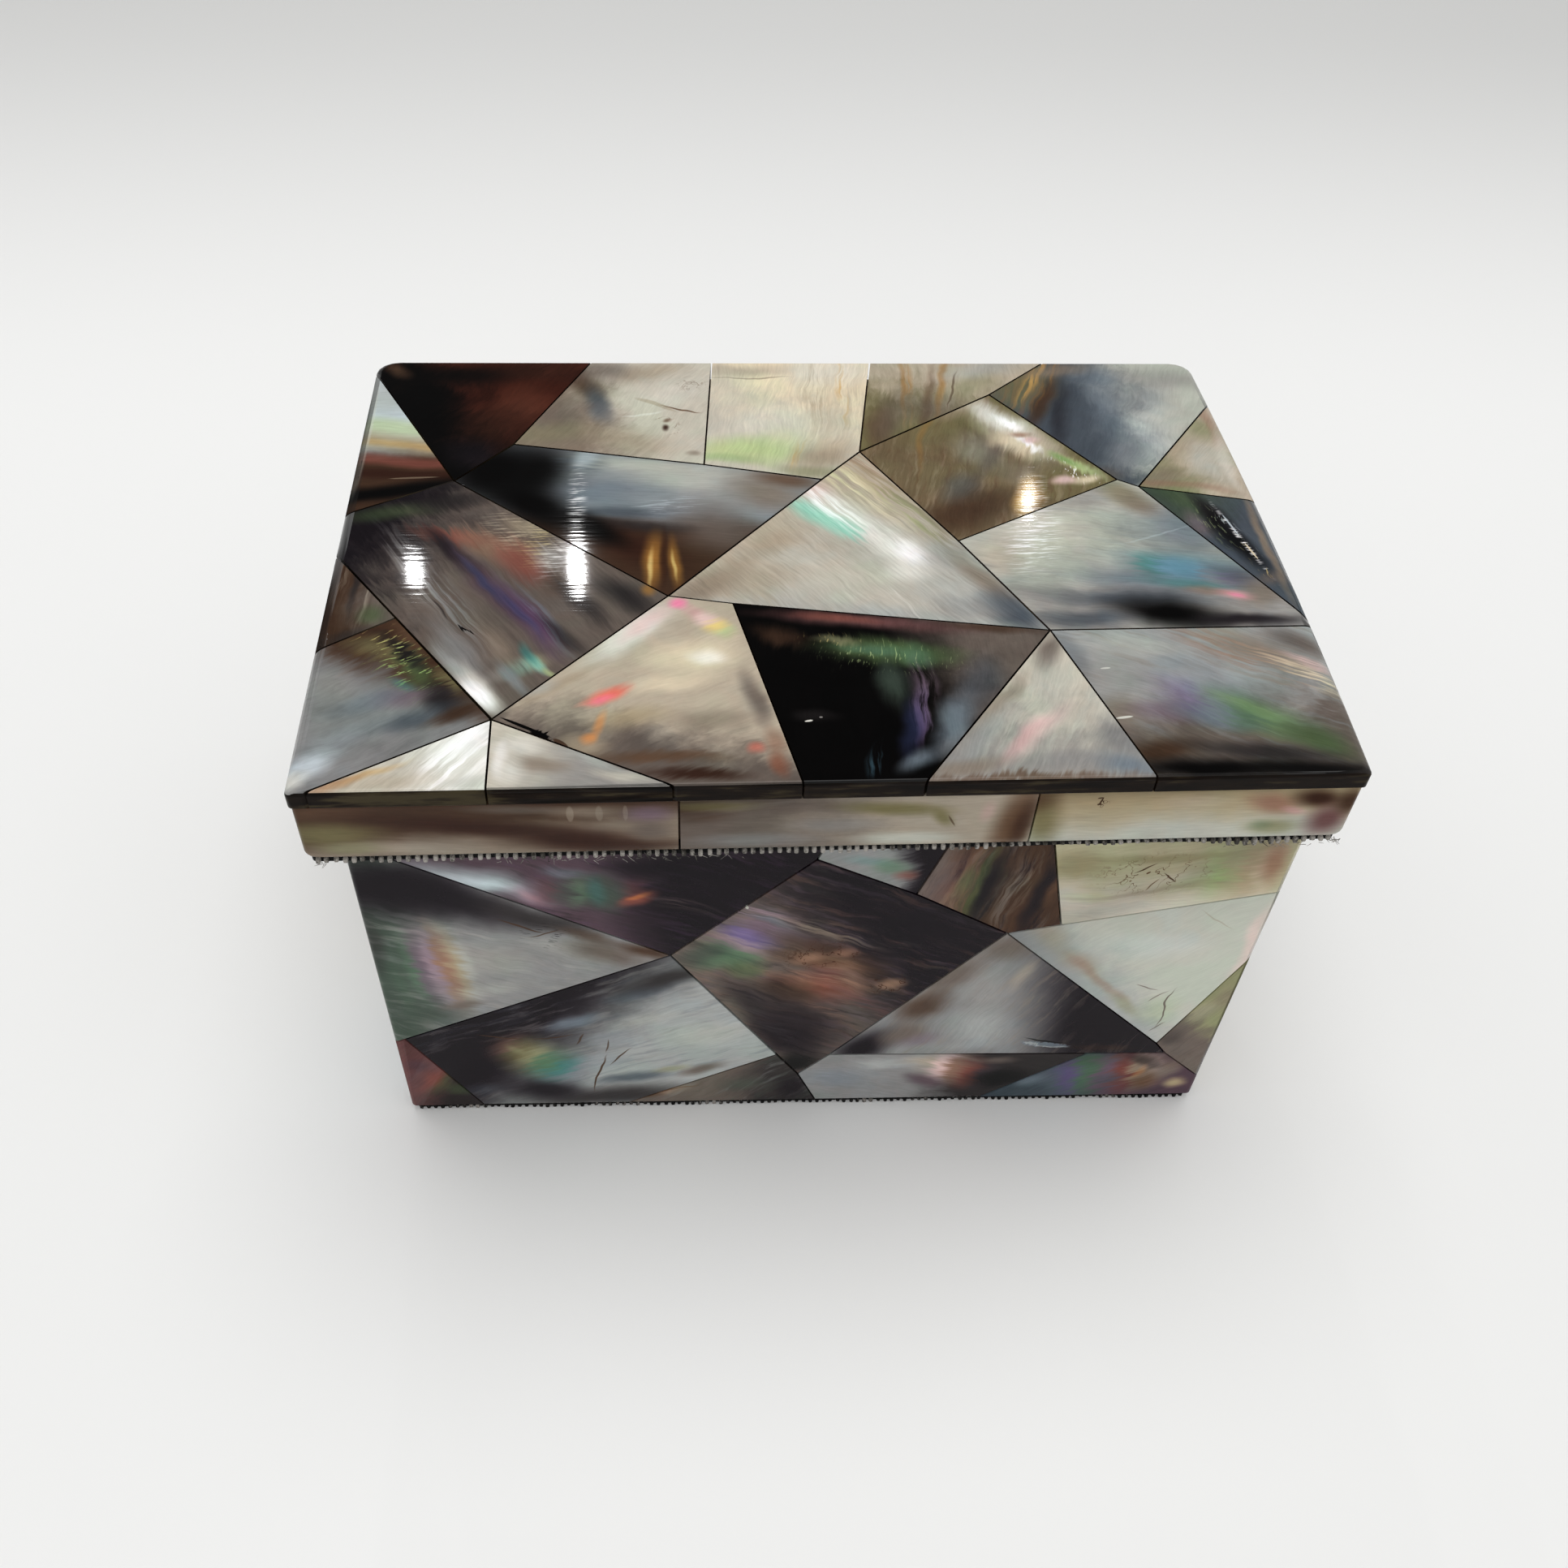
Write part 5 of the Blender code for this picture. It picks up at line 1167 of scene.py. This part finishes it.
def make_front_tiles():
    for number, recipe in FRONT_RECIPES.items():
        name = f"front_tile_{number:02d}"
        finish = shell_finish("nacre_" + name, "front", FRONT_LIGHT, recipe)
        shell_piece(name, finish, box_outside)

# Strips that don't show: the length of each side, and the slots of its strips
PLAIN_STRIPS = {
    "back": (LID_WIDTH, ("shell_smoke", "shell_sand", "shell_silver")),
    "left": (LID_DEPTH, ("shell_sand", "shell_silver")),
    "right": (LID_DEPTH, ("shell_silver", "shell_umber")),
}
STRIP_EDGES = (0, 10.6)


def make_strips():
    for number, recipe in STRIP_RECIPES.items():
        name = f"lid_front_strip_{number}"
        finish = shell_finish("nacre_" + name, "lid_front", STRIP_LIGHT, recipe)
        shell_piece(name, finish, strip_outside)
    for side, (side_length, slots) in PLAIN_STRIPS.items():
        for index, slot in enumerate(slots):
            name = f"lid_{side}_strip_{index + 1}"
            length = side_length / MM
            across = (length * index / len(slots), length * (index + 1) / len(slots))
            recipe = plain_recipe(slot, 60 + len(name) + 7 * index + ord(side[0]), across, STRIP_EDGES)
            finish = shell_finish("nacre_" + name, "lid_" + side, SIDE_LIGHT, recipe)
            shell_piece(name, finish, strip_outside)


# Sides that don't show: the way each faces, and its slot
MOSAICS = {
    "back": (Vector((0, 1, 0)), "shell_smoke"),
    "left": (Vector((-1, 0, 0)), "shell_sand"),
    "right": (Vector((1, 0, 0)), "shell_silver"),
}
MOSAIC_BLOOMS = ("mauve", "fern", "tan", "steel")
MOSAIC_DRIFT = 6
TILE_TURN = 2.4
TILE_STEP = 31.7
FACING = 0.98
LEVEL_PLAY = 0.1 * MM


def ground_ramp(finish, tile, colours):
    """One colour for each tile, by the tile's number."""
    count = len(colours)
    stops = [((index - 0.5) / count, tone(colour, SIDE_LIGHT)) for index, colour in enumerate(colours)]
    stops[0] = (0.0, stops[0][1])
    return finish.ramp(tile / count, ("CONSTANT", stops))


def mosaic_finish(name, chart, grounds, seed):
    """Mother-of-pearl of a whole plain side: every tile takes its own ground, grain and clouds."""
    finish = Finish(name, Roughness=POLISH, Specular_IOR_Level=SIDE_SHINE)
    flat = CHARTS[chart].read(finish)
    tile = finish.node("Attribute", {"attribute_name": "tile"}, out="Fac")
    spin = {"Vector": flat, "Angle": tile * TILE_TURN}
    turned = finish.node("VectorRotate", {"rotation_type": "Z_AXIS"}, spin)
    moved = finish.vector("ADD", turned, finish.node("CombineXYZ", None, {2: tile * TILE_STEP + seed}))
    cloud = finish.noise(moved, DRIFT_CLOUDS, seed, 3.0, 0.5, out="Color")
    drifted = finish.vector("MULTIPLY_ADD", cloud, (MOSAIC_DRIFT, MOSAIC_DRIFT, 0), moved)
    streak = finish.grained(drifted, 0, 12, 0.9, seed + 1, 5.0, 0.62)
    patchy = finish.noise(drifted, 14.0, seed + 2, 3.0, 0.5)
    share = finish.clear(patchy + (streak - 0.5) * 0.2, 0.34, 0.66)
    firsts, seconds = zip(*grounds)
    colour = finish.mix(share, ground_ramp(finish, tile, firsts), ground_ramp(finish, tile, seconds))
    for offset, accent in enumerate(MOSAIC_BLOOMS):
        bloom = finish.grained(drifted, 8 * offset, 30, 9, seed + 10 + offset, 3.0, 0.55)
        colour = finish.mix(finish.clear(bloom, 0.46, 0.74, 0, 0.5), colour, tone(accent, SIDE_LIGHT))
    mottle = finish.noise(drifted, 5.0, seed + 4, 5.0, 0.62)
    shade = 1.0 + (streak - 0.5) * 0.5 + (mottle - 0.5) * 0.6
    shaded = finish.scale(finish.vector("MULTIPLY", colour, colour), shade)
    resin = finish.clear(tile, -0.6, -0.4, 1, 0)
    finish.give_colour(finish.mix(resin, shaded, paint("ink", SIDE_LIGHT)))
    polish_ripples(finish, flat)
    return finish


def mark_tiles(piece, outward):
    """Numbers the tiles of a mosaic in a face attribute; its bed of resin gets -1."""
    mesh = bmesh.from_edit_mesh(piece.data)
    layer = mesh.faces.layers.float.new("tile")
    level = max(vert.co.dot(outward) for vert in mesh.verts)
    tops = []
    for face in mesh.faces:
        face[layer] = -1
        if face.normal.dot(outward) > FACING and (face.calc_center_median().dot(outward) > level - LEVEL_PLAY):
            tops.append(face)
    tops.sort(key=lambda face: (round(face.calc_center_median().z, 5), round(face.calc_center_median().x, 5)))
    for number, top in enumerate(tops):
        reach = [top]
        while reach:
            face = reach.pop()
            if face[layer] >= 0:
                continue
            face[layer] = number
            for edge in face.edges:
                for other in edge.link_faces:
                    if other[layer] < 0 and abs(other.normal.dot(outward)) < FACING:
                        reach.append(other)
    bmesh.update_edit_mesh(piece.data)
    return len(tops)


def borders_face(outward):
    """Says whether an edge borders the face that looks this way."""

    def borders(edge):
        return any(face.normal.dot(outward) > FACING and face.calc_center_median().dot(outward) > 0
                   for face in edge.link_faces)

    return borders


def make_mosaics():
    for side, (outward, slot) in MOSAICS.items():
        node = side + "_mosaic"
        piece = clean_copy(node, "polished_" + node)
        bevel_edges(piece, borders_face(outward), BEVEL_JOINT, 1)
        count = mark_tiles(piece, outward)
        grounds = [PLAIN_GROUNDS[(index * 5 + len(side)) % len(PLAIN_GROUNDS)] for index in range(count)]
        finish_piece(piece, node)
        mosaic_finish("nacre_" + node, side, grounds, ord(side[0])).wear(piece)


WOOD_GRAIN = (50 * MM, 1.2 * MM)
WOOD_COLOURS = ("LINEAR", [(0.3, (0.05, 0.022, 0.01, 1)), (0.55, (0.13, 0.065, 0.03, 1)),
                           (0.75, (0.2, 0.11, 0.055, 1))])


def wood_finish():
    """Dark wood with its grain along the box."""
    finish = Finish("dark_wood", Roughness=0.55)
    rings = finish.grained(finish.place, 0, *WOOD_GRAIN, 1, 5.0, 0.6)
    finish.give_colour(finish.ramp(rings, WOOD_COLOURS))
    finish.give_normal(finish.bump(rings, 0.08 * MM))
    return finish


# Ribbed cloth: pale cords, side by side, under a black ground cloth
RIB_PITCH = 1.25 * MM
RIB_WIDTH = 0.66 * MM
RIB_ROUND = 0.2 * MM
RIB_REACH = 6.5 * MM
CLOTH_GRID = 4 * MM
CLOTH_RIM = 0.25 * MM
CLOTH_SHORT_EDGE = 2 * MM
CLOTH_WAVE = 0.09 * MM
CLOTH_WAVE_LENGTH = 9 * MM
TABLE_GAP = 0.02 * MM
LID_CLOTH_LOW = 75.3 * MM
LID_CLOTH_SIZE = (148.2 * MM, 104.2 * MM)
BASE_CLOTH_SIZE = (140.6 * MM, 96.6 * MM)


def cloth_finish(name, dark, pale, low, high):
    """Woven threads that cross, with fuzz; the share of pale threads grows from low to high."""
    finish = Finish(name, Roughness=0.92, Specular_IOR_Level=0.15)
    flat = CHARTS["lid_top"].read(finish)
    turns = 2 * math.pi / (RIB_PITCH / MM)
    sideways, backwards, _ = finish.parts(flat)
    across = finish.node("Math", {"operation": "SINE"}, {0: sideways * turns})
    along = finish.node("Math", {"operation": "SINE"}, {0: backwards * turns * 2.5})
    weave = across + along * 0.4
    fuzz = finish.noise(flat, 0.4, 2, 4.0, 0.7)
    finish.give_colour(finish.mix(finish.clear(weave * 0.2 + fuzz, low, high), dark, pale))
    finish.give_normal(finish.bump(weave * 0.3 + fuzz, 0.2 * MM))
    return finish


def rib_finish(name, dark, pale, clouds, low, high):
    """Cords whose colour changes from one to the next, with a dark thread over some of them."""
    finish = Finish(name, Roughness=0.9, Specular_IOR_Level=0.1)
    flat = CHARTS["lid_top"].read(finish)
    broad = finish.noise(finish.stretched(flat, 0, 1, 30), clouds, 5, 3.0, 0.6)
    fuzz = finish.noise(finish.place, 0.35 * MM, 2, 4.0, 0.7)
    share = finish.clear(broad + (fuzz - 0.5) * 0.5, low, high)
    finish.give_colour(finish.scale(finish.mix(share, dark, pale), 0.75 + fuzz * 0.5))
    finish.give_normal(finish.bump(fuzz, 0.12 * MM))
    return finish


def laid_cloth(node, name):
    """The node's form as cloth lies: soft rims, and shallow waves all over."""
    piece = clean_copy(node, name)
    corners = [vert.co.copy() for vert in bmesh.from_edit_mesh(piece.data).verts]
    bevel_edges(piece, lambda edge: edge.calc_length() > CLOTH_SHORT_EDGE, CLOTH_RIM, 2)
    for axis in (0, 1, 2):
        start = min(corner[axis] for corner in corners)
        end = max(corner[axis] for corner in corners)
        normal = [float(axis == other) for other in (0, 1, 2)]
        for step in range(1, int((end - start) / CLOTH_GRID) + 1):
            place = [(start + step * CLOTH_GRID - CLOTH_GRID / 2) * part for part in normal]
            bpy.ops.mesh.select_all(action="SELECT")
            bpy.ops.mesh.bisect(plane_co=place, plane_no=normal)
    mesh = bmesh.from_edit_mesh(piece.data)
    lowest = min(corner.z for corner in corners)
    highest = max(corner.z for corner in corners)
    for vert in mesh.verts:
        vert.co += vert.normal * CLOTH_WAVE * noise.noise(vert.co / CLOTH_WAVE_LENGTH)
        vert.co.z = min(max(vert.co.z, lowest + TABLE_GAP), highest)
    bmesh.update_edit_mesh(piece.data)
    finish_piece(piece, node)
    return piece


def plain_piece(name):
    """Names the picked mesh and rides it on the body."""
    piece = bpy.context.object
    piece.name = name
    piece.data.name = name
    bpy.ops.object.transform_apply(location=True, rotation=True, scale=True)
    bpy.ops.object.shade_smooth_by_angle(angle=SMOOTH_ANGLE)
    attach(piece, "root")
    return piece


def rib_row(name, width, end, reach, low, high, turn, aside, hang):
    """Row of cords that run front to back; their ends show. hang gives a cord's low end by its place."""
    count = int(width / RIB_PITCH)
    first = -(count - 1) * RIB_PITCH / 2
    bpy.ops.object.select_all(action="DESELECT")
    bpy.ops.mesh.primitive_cube_add(size=1, location=(first, end + reach / 2, (low + high) / 2),
                                    scale=(RIB_WIDTH, reach, high - low))
    bpy.ops.object.transform_apply(location=True, rotation=False, scale=True)
    row = bpy.context.object
    bpy.ops.object.mode_set(mode="EDIT")
    bpy.ops.mesh.select_all(action="SELECT")
    bpy.ops.mesh.bevel(offset=RIB_ROUND, segments=2, profile=0.5, affect="EDGES")
    bpy.ops.object.mode_set(mode="OBJECT")
    copies = row.modifiers.new("row", "ARRAY")
    copies.count = count
    copies.use_relative_offset = False
    copies.use_constant_offset = True
    copies.constant_offset_displace = (RIB_PITCH, 0, 0)
    bpy.ops.object.modifier_apply(modifier=copies.name)
    bpy.ops.object.mode_set(mode="EDIT")
    mesh = bmesh.from_edit_mesh(row.data)
    rng = random.Random(len(name))
    shifts = [(rng.uniform(-0.1, 0.1) * MM, rng.uniform(-0.12, 0.12) * MM, rng.uniform(-0.12, 0.08) * MM)
              for _ in range(count)]
    for vert in mesh.verts:
        number = min(max(round((vert.co.x - first) / RIB_PITCH), 0), count - 1)
        shift = shifts[number]
        share = (high - vert.co.z) / (high - low)
        vert.co.x += shift[0]
        vert.co.y += shift[1]
        vert.co.z += share * (shift[2] + hang((vert.co.x + width / 2) / width))
        vert.co.z = max(vert.co.z, TABLE_GAP)
    bmesh.update_edit_mesh(row.data)
    bpy.ops.object.mode_set(mode="OBJECT")
    row.rotation_euler.z = turn
    row.location.x = aside
    return plain_piece(name)

# Where the cords' low ends rise or hang along the lid's front: from and to, as shares of its width,
# and by how much
LID_RISES = ((0.65, 0.86, 0.45 * MM), (0.89, 0.975, -0.35 * MM))
HANG_WAVE = 0.12 * MM


def lid_hang(share):
    """How far the cords' low ends rise or hang along the lid's front."""
    rise = sum(rise for start, end, rise in LID_RISES if start < share < end)
    return rise + HANG_WAVE * math.sin(share * 47)


def base_hang(share):
    """How far the cords' low ends rise or hang along the box's base."""
    return HANG_WAVE * math.sin(share * 31)


# Frayed spots of the lid's cloth: across, deep and up in millimetres, spread, fibres and their length
LID_FRAY = ((32, -52.8, 75.4, 4, 12, 1.1), (46, -52.8, 75.3, 6, 26, 1.4), (57, -52.8, 75.3, 3, 12, 1.2),
            (141, -52.8, 75.3, 4, 20, 1.4), (149, -52.7, 75.6, 0.5, 14, 1.4), (2, -52.7, 75.4, 0.6, 6, 1.2))
FIBRE_ROOT = 0.055 * MM
FIBRE_TIP = 0.02 * MM


def fray(name, spots, turn):
    """Loose fibres: thin tapered threads scattered about some spots of a cloth's edge."""
    rng = random.Random(7)
    made = []
    for across, deep, up, spread, count, length in spots:
        for _ in range(count):
            bpy.ops.object.select_all(action="DESELECT")
            long = rng.uniform(0.5, 1.0) * length * MM
            place = (across * MM - LID_WIDTH / 2 + rng.gauss(0, spread) * MM,
                     deep * MM + rng.uniform(-0.3, 0.2) * MM,
                     up * MM + rng.gauss(0, 0.25) * MM)
            slant = (rng.uniform(0.9, 2.2), rng.uniform(-0.5, 0.5), rng.uniform(-1.5, 1.5))
            bpy.ops.mesh.primitive_cone_add(vertices=5, radius1=FIBRE_ROOT, radius2=FIBRE_TIP, depth=long,
                                            location=place, rotation=slant)
            made.append(bpy.context.object)
    bpy.ops.object.select_all(action="DESELECT")
    for fibre in made:
        fibre.select_set(True)
    bpy.context.view_layer.objects.active = made[0]
    bpy.ops.object.join()
    bpy.ops.object.transform_apply(location=True, rotation=True, scale=True)
    bpy.context.object.rotation_euler.z = turn
    return plain_piece(name)



def make_cloth():
    ground = cloth_finish("ground_cloth", (0.004, 0.004, 0.0045, 1), (0.05, 0.047, 0.044, 1), 0.6, 0.95)
    cords = rib_finish("cloth_cords", (0.05, 0.046, 0.04, 1), (0.36, 0.34, 0.31, 1), 3.0, 0.36, 0.62)
    under = rib_finish("base_cords", (0.006, 0.006, 0.006, 1), (0.26, 0.24, 0.22, 1), 7.0, 0.56, 0.7)
    lid = laid_cloth("lid_cloth", "lid_ground_cloth")
    base = laid_cloth("base_cloth", "base_ground_cloth")
    lining = laid_cloth("box_lining", "lining_ground_cloth")
    for piece in (lid, base, lining):
        ground.wear(piece)
    lid_end = -LID_DEPTH / 2 + 0.3 * MM
    lid_low = LID_CLOTH_LOW + 0.1 * MM
    lid_high = LID_BASE - 0.2 * MM
    rows = []
    for side, turn in (("front", LID_TURN), ("back", LID_TURN + math.pi)):
        rows.append(rib_row("lid_cords_" + side, LID_CLOTH_SIZE[0], lid_end, RIB_REACH, lid_low, lid_high,
                            turn, 0, lid_hang))
    hairs = fray("lid_fray", LID_FRAY, LID_TURN)
    for piece in rows + [hairs]:
        cords.wear(piece)
    base_end = -BOX_DEPTH / 2 + 0.15 * MM
    feet = []
    for side, turn in (("front", 0), ("back", math.pi)):
        feet.append(rib_row("base_cords_" + side, BASE_CLOTH_SIZE[0], base_end, RIB_REACH,
                            0.15 * MM, 1.3 * MM, turn, BOX_ASIDE, base_hang))
    for row in feet:
        under.wear(row)


def make_wood():
    wood = wood_finish()
    for name in ("box_carcass", "lid_board"):
        wood.wear(frame["nodes"][name])


def make_camera():
    data = bpy.data.cameras.new("camera")
    data.lens = CAMERA_LENS
    data.sensor_width = 36
    data.clip_start = 0.01
    camera = bpy.data.objects.new("camera", data)
    bpy.context.scene.collection.objects.link(camera)
    turn = Matrix.Rotation(math.radians(CAMERA_YAW), 4, "Z")
    tilt = Matrix.Rotation(math.radians(90 - CAMERA_DOWN), 4, "X")
    roll = Matrix.Rotation(math.radians(CAMERA_ROLL), 4, "Z")
    camera.matrix_world = Matrix.Translation(CAMERA_PLACE) @ turn @ tilt @ roll
    bpy.context.scene.camera = camera


# White paper near the box; far back, its colour is a painted shade for the light that falls off there, fading
# in between two depths, in metres.
PAPER = (0.87, 0.87, 0.86, 1)
SHADED_FAR_PAPER = (0.63, 0.63, 0.62, 1)
PAPER_SIZE = 3
PAPER_SHADE_FADE = (0.15, 0.5)


def make_floor():
    """Sheet of white paper with a painted shade: it darkens towards the back, standing in for the light that
    falls off there.
    """
    bpy.ops.object.select_all(action="DESELECT")
    bpy.ops.mesh.primitive_plane_add(size=PAPER_SIZE, location=(0, 0, 0))
    floor = bpy.context.object
    floor.name = "floor"
    paper = Finish("paper", Roughness=0.8, Specular_IOR_Level=0.1)
    far = paper.clear(paper.parts(paper.place)[1], *PAPER_SHADE_FADE)
    paper.give_colour(paper.mix(far, PAPER, SHADED_FAR_PAPER))
    paper.wear(floor)


# Lamps: the spot on the lid where the photograph shows each one mirrored, its width, height and power
LAMP_HEIGHT = 2.0
ROOM_LIGHT = 0.68
CEILING_LIGHT = 0.1
DARK_CEILING = (0.0, 0.77, 0.63)
CEILING_EDGE = (0.78, 0.95)
LAMPS = {
    "left": (12.5, 46.5, 0.034, 0.05, 0.9),
    "middle": (37.5, 46.5, 0.036, 0.1, 1.7),
    "right": (112, 63, 0.03, 0.06, 0.18),
}
# Soft lights: place, aim, size and power
SOFT_LIGHTS = {
    "softbox": ((0.0, 0.25, 1.2), (0, 0, 0), 0.9, 6.5),
    "front_fill": ((-0.3, -1.2, 0.9), (0, 0, 0.05), 0.9, 2.6),
}


def area_light(name, place, aim, size, power, height=None):
    data = bpy.data.lights.new(name, "AREA")
    data.shape = "ELLIPSE"
    data.size = size
    data.size_y = height or size
    data.energy = power
    light = bpy.data.objects.new(name, data)
    bpy.context.scene.collection.objects.link(light)
    light.location = place
    light.rotation_euler = (Vector(aim) - Vector(place)).to_track_quat("-Z", "Y").to_euler()


def mirrored_lamp(name, across, up, width, height, power):
    """Lamp that the camera sees mirrored at a spot of the lid, given in millimetres."""
    flat = Vector((across * MM - LID_WIDTH / 2, up * MM - LID_DEPTH / 2, 0))
    spot = Matrix.Rotation(LID_TURN, 3, "Z") @ flat
    spot.z = LID_TOP
    ray = spot - CAMERA_PLACE
    ray.z = -ray.z
    place = spot + ray * ((LAMP_HEIGHT - spot.z) / ray.z)
    area_light("lamp_" + name, place, spot, width, power, height)


def make_light():
    """White room with a darker ceiling behind the box, two soft lights and the mirrored lamps."""
    world = bpy.data.worlds.new("world")
    world.use_nodes = True
    bpy.context.scene.world = world
    tree = world.node_tree
    sky = tree.nodes["Background"]
    sky.inputs["Color"].default_value = WHITE
    towards = tree.nodes.new("ShaderNodeTexCoord")
    facing = tree.nodes.new("ShaderNodeVectorMath")
    facing.operation = "DOT_PRODUCT"
    facing.inputs[1].default_value = DARK_CEILING
    tree.links.new(towards.outputs["Generated"], facing.inputs[0])
    dim = tree.nodes.new("ShaderNodeMapRange")
    dim.interpolation_type = "SMOOTHSTEP"
    limits = (*CEILING_EDGE, ROOM_LIGHT, CEILING_LIGHT)
    for socket, value in zip(("From Min", "From Max", "To Min", "To Max"), limits):
        dim.inputs[socket].default_value = value
    tree.links.new(facing.outputs["Value"], dim.inputs["Value"])
    tree.links.new(dim.outputs["Result"], sky.inputs["Strength"])
    for name, numbers in SOFT_LIGHTS.items():
        area_light(name, *numbers)
    for name, numbers in LAMPS.items():
        mirrored_lamp(name, *numbers)
    bpy.context.scene.view_settings.view_transform = "Standard"


make_camera()
make_floor()
make_light()
make_lid_tiles()
make_front_tiles()
make_strips()
make_mosaics()
make_wood()
make_cloth()
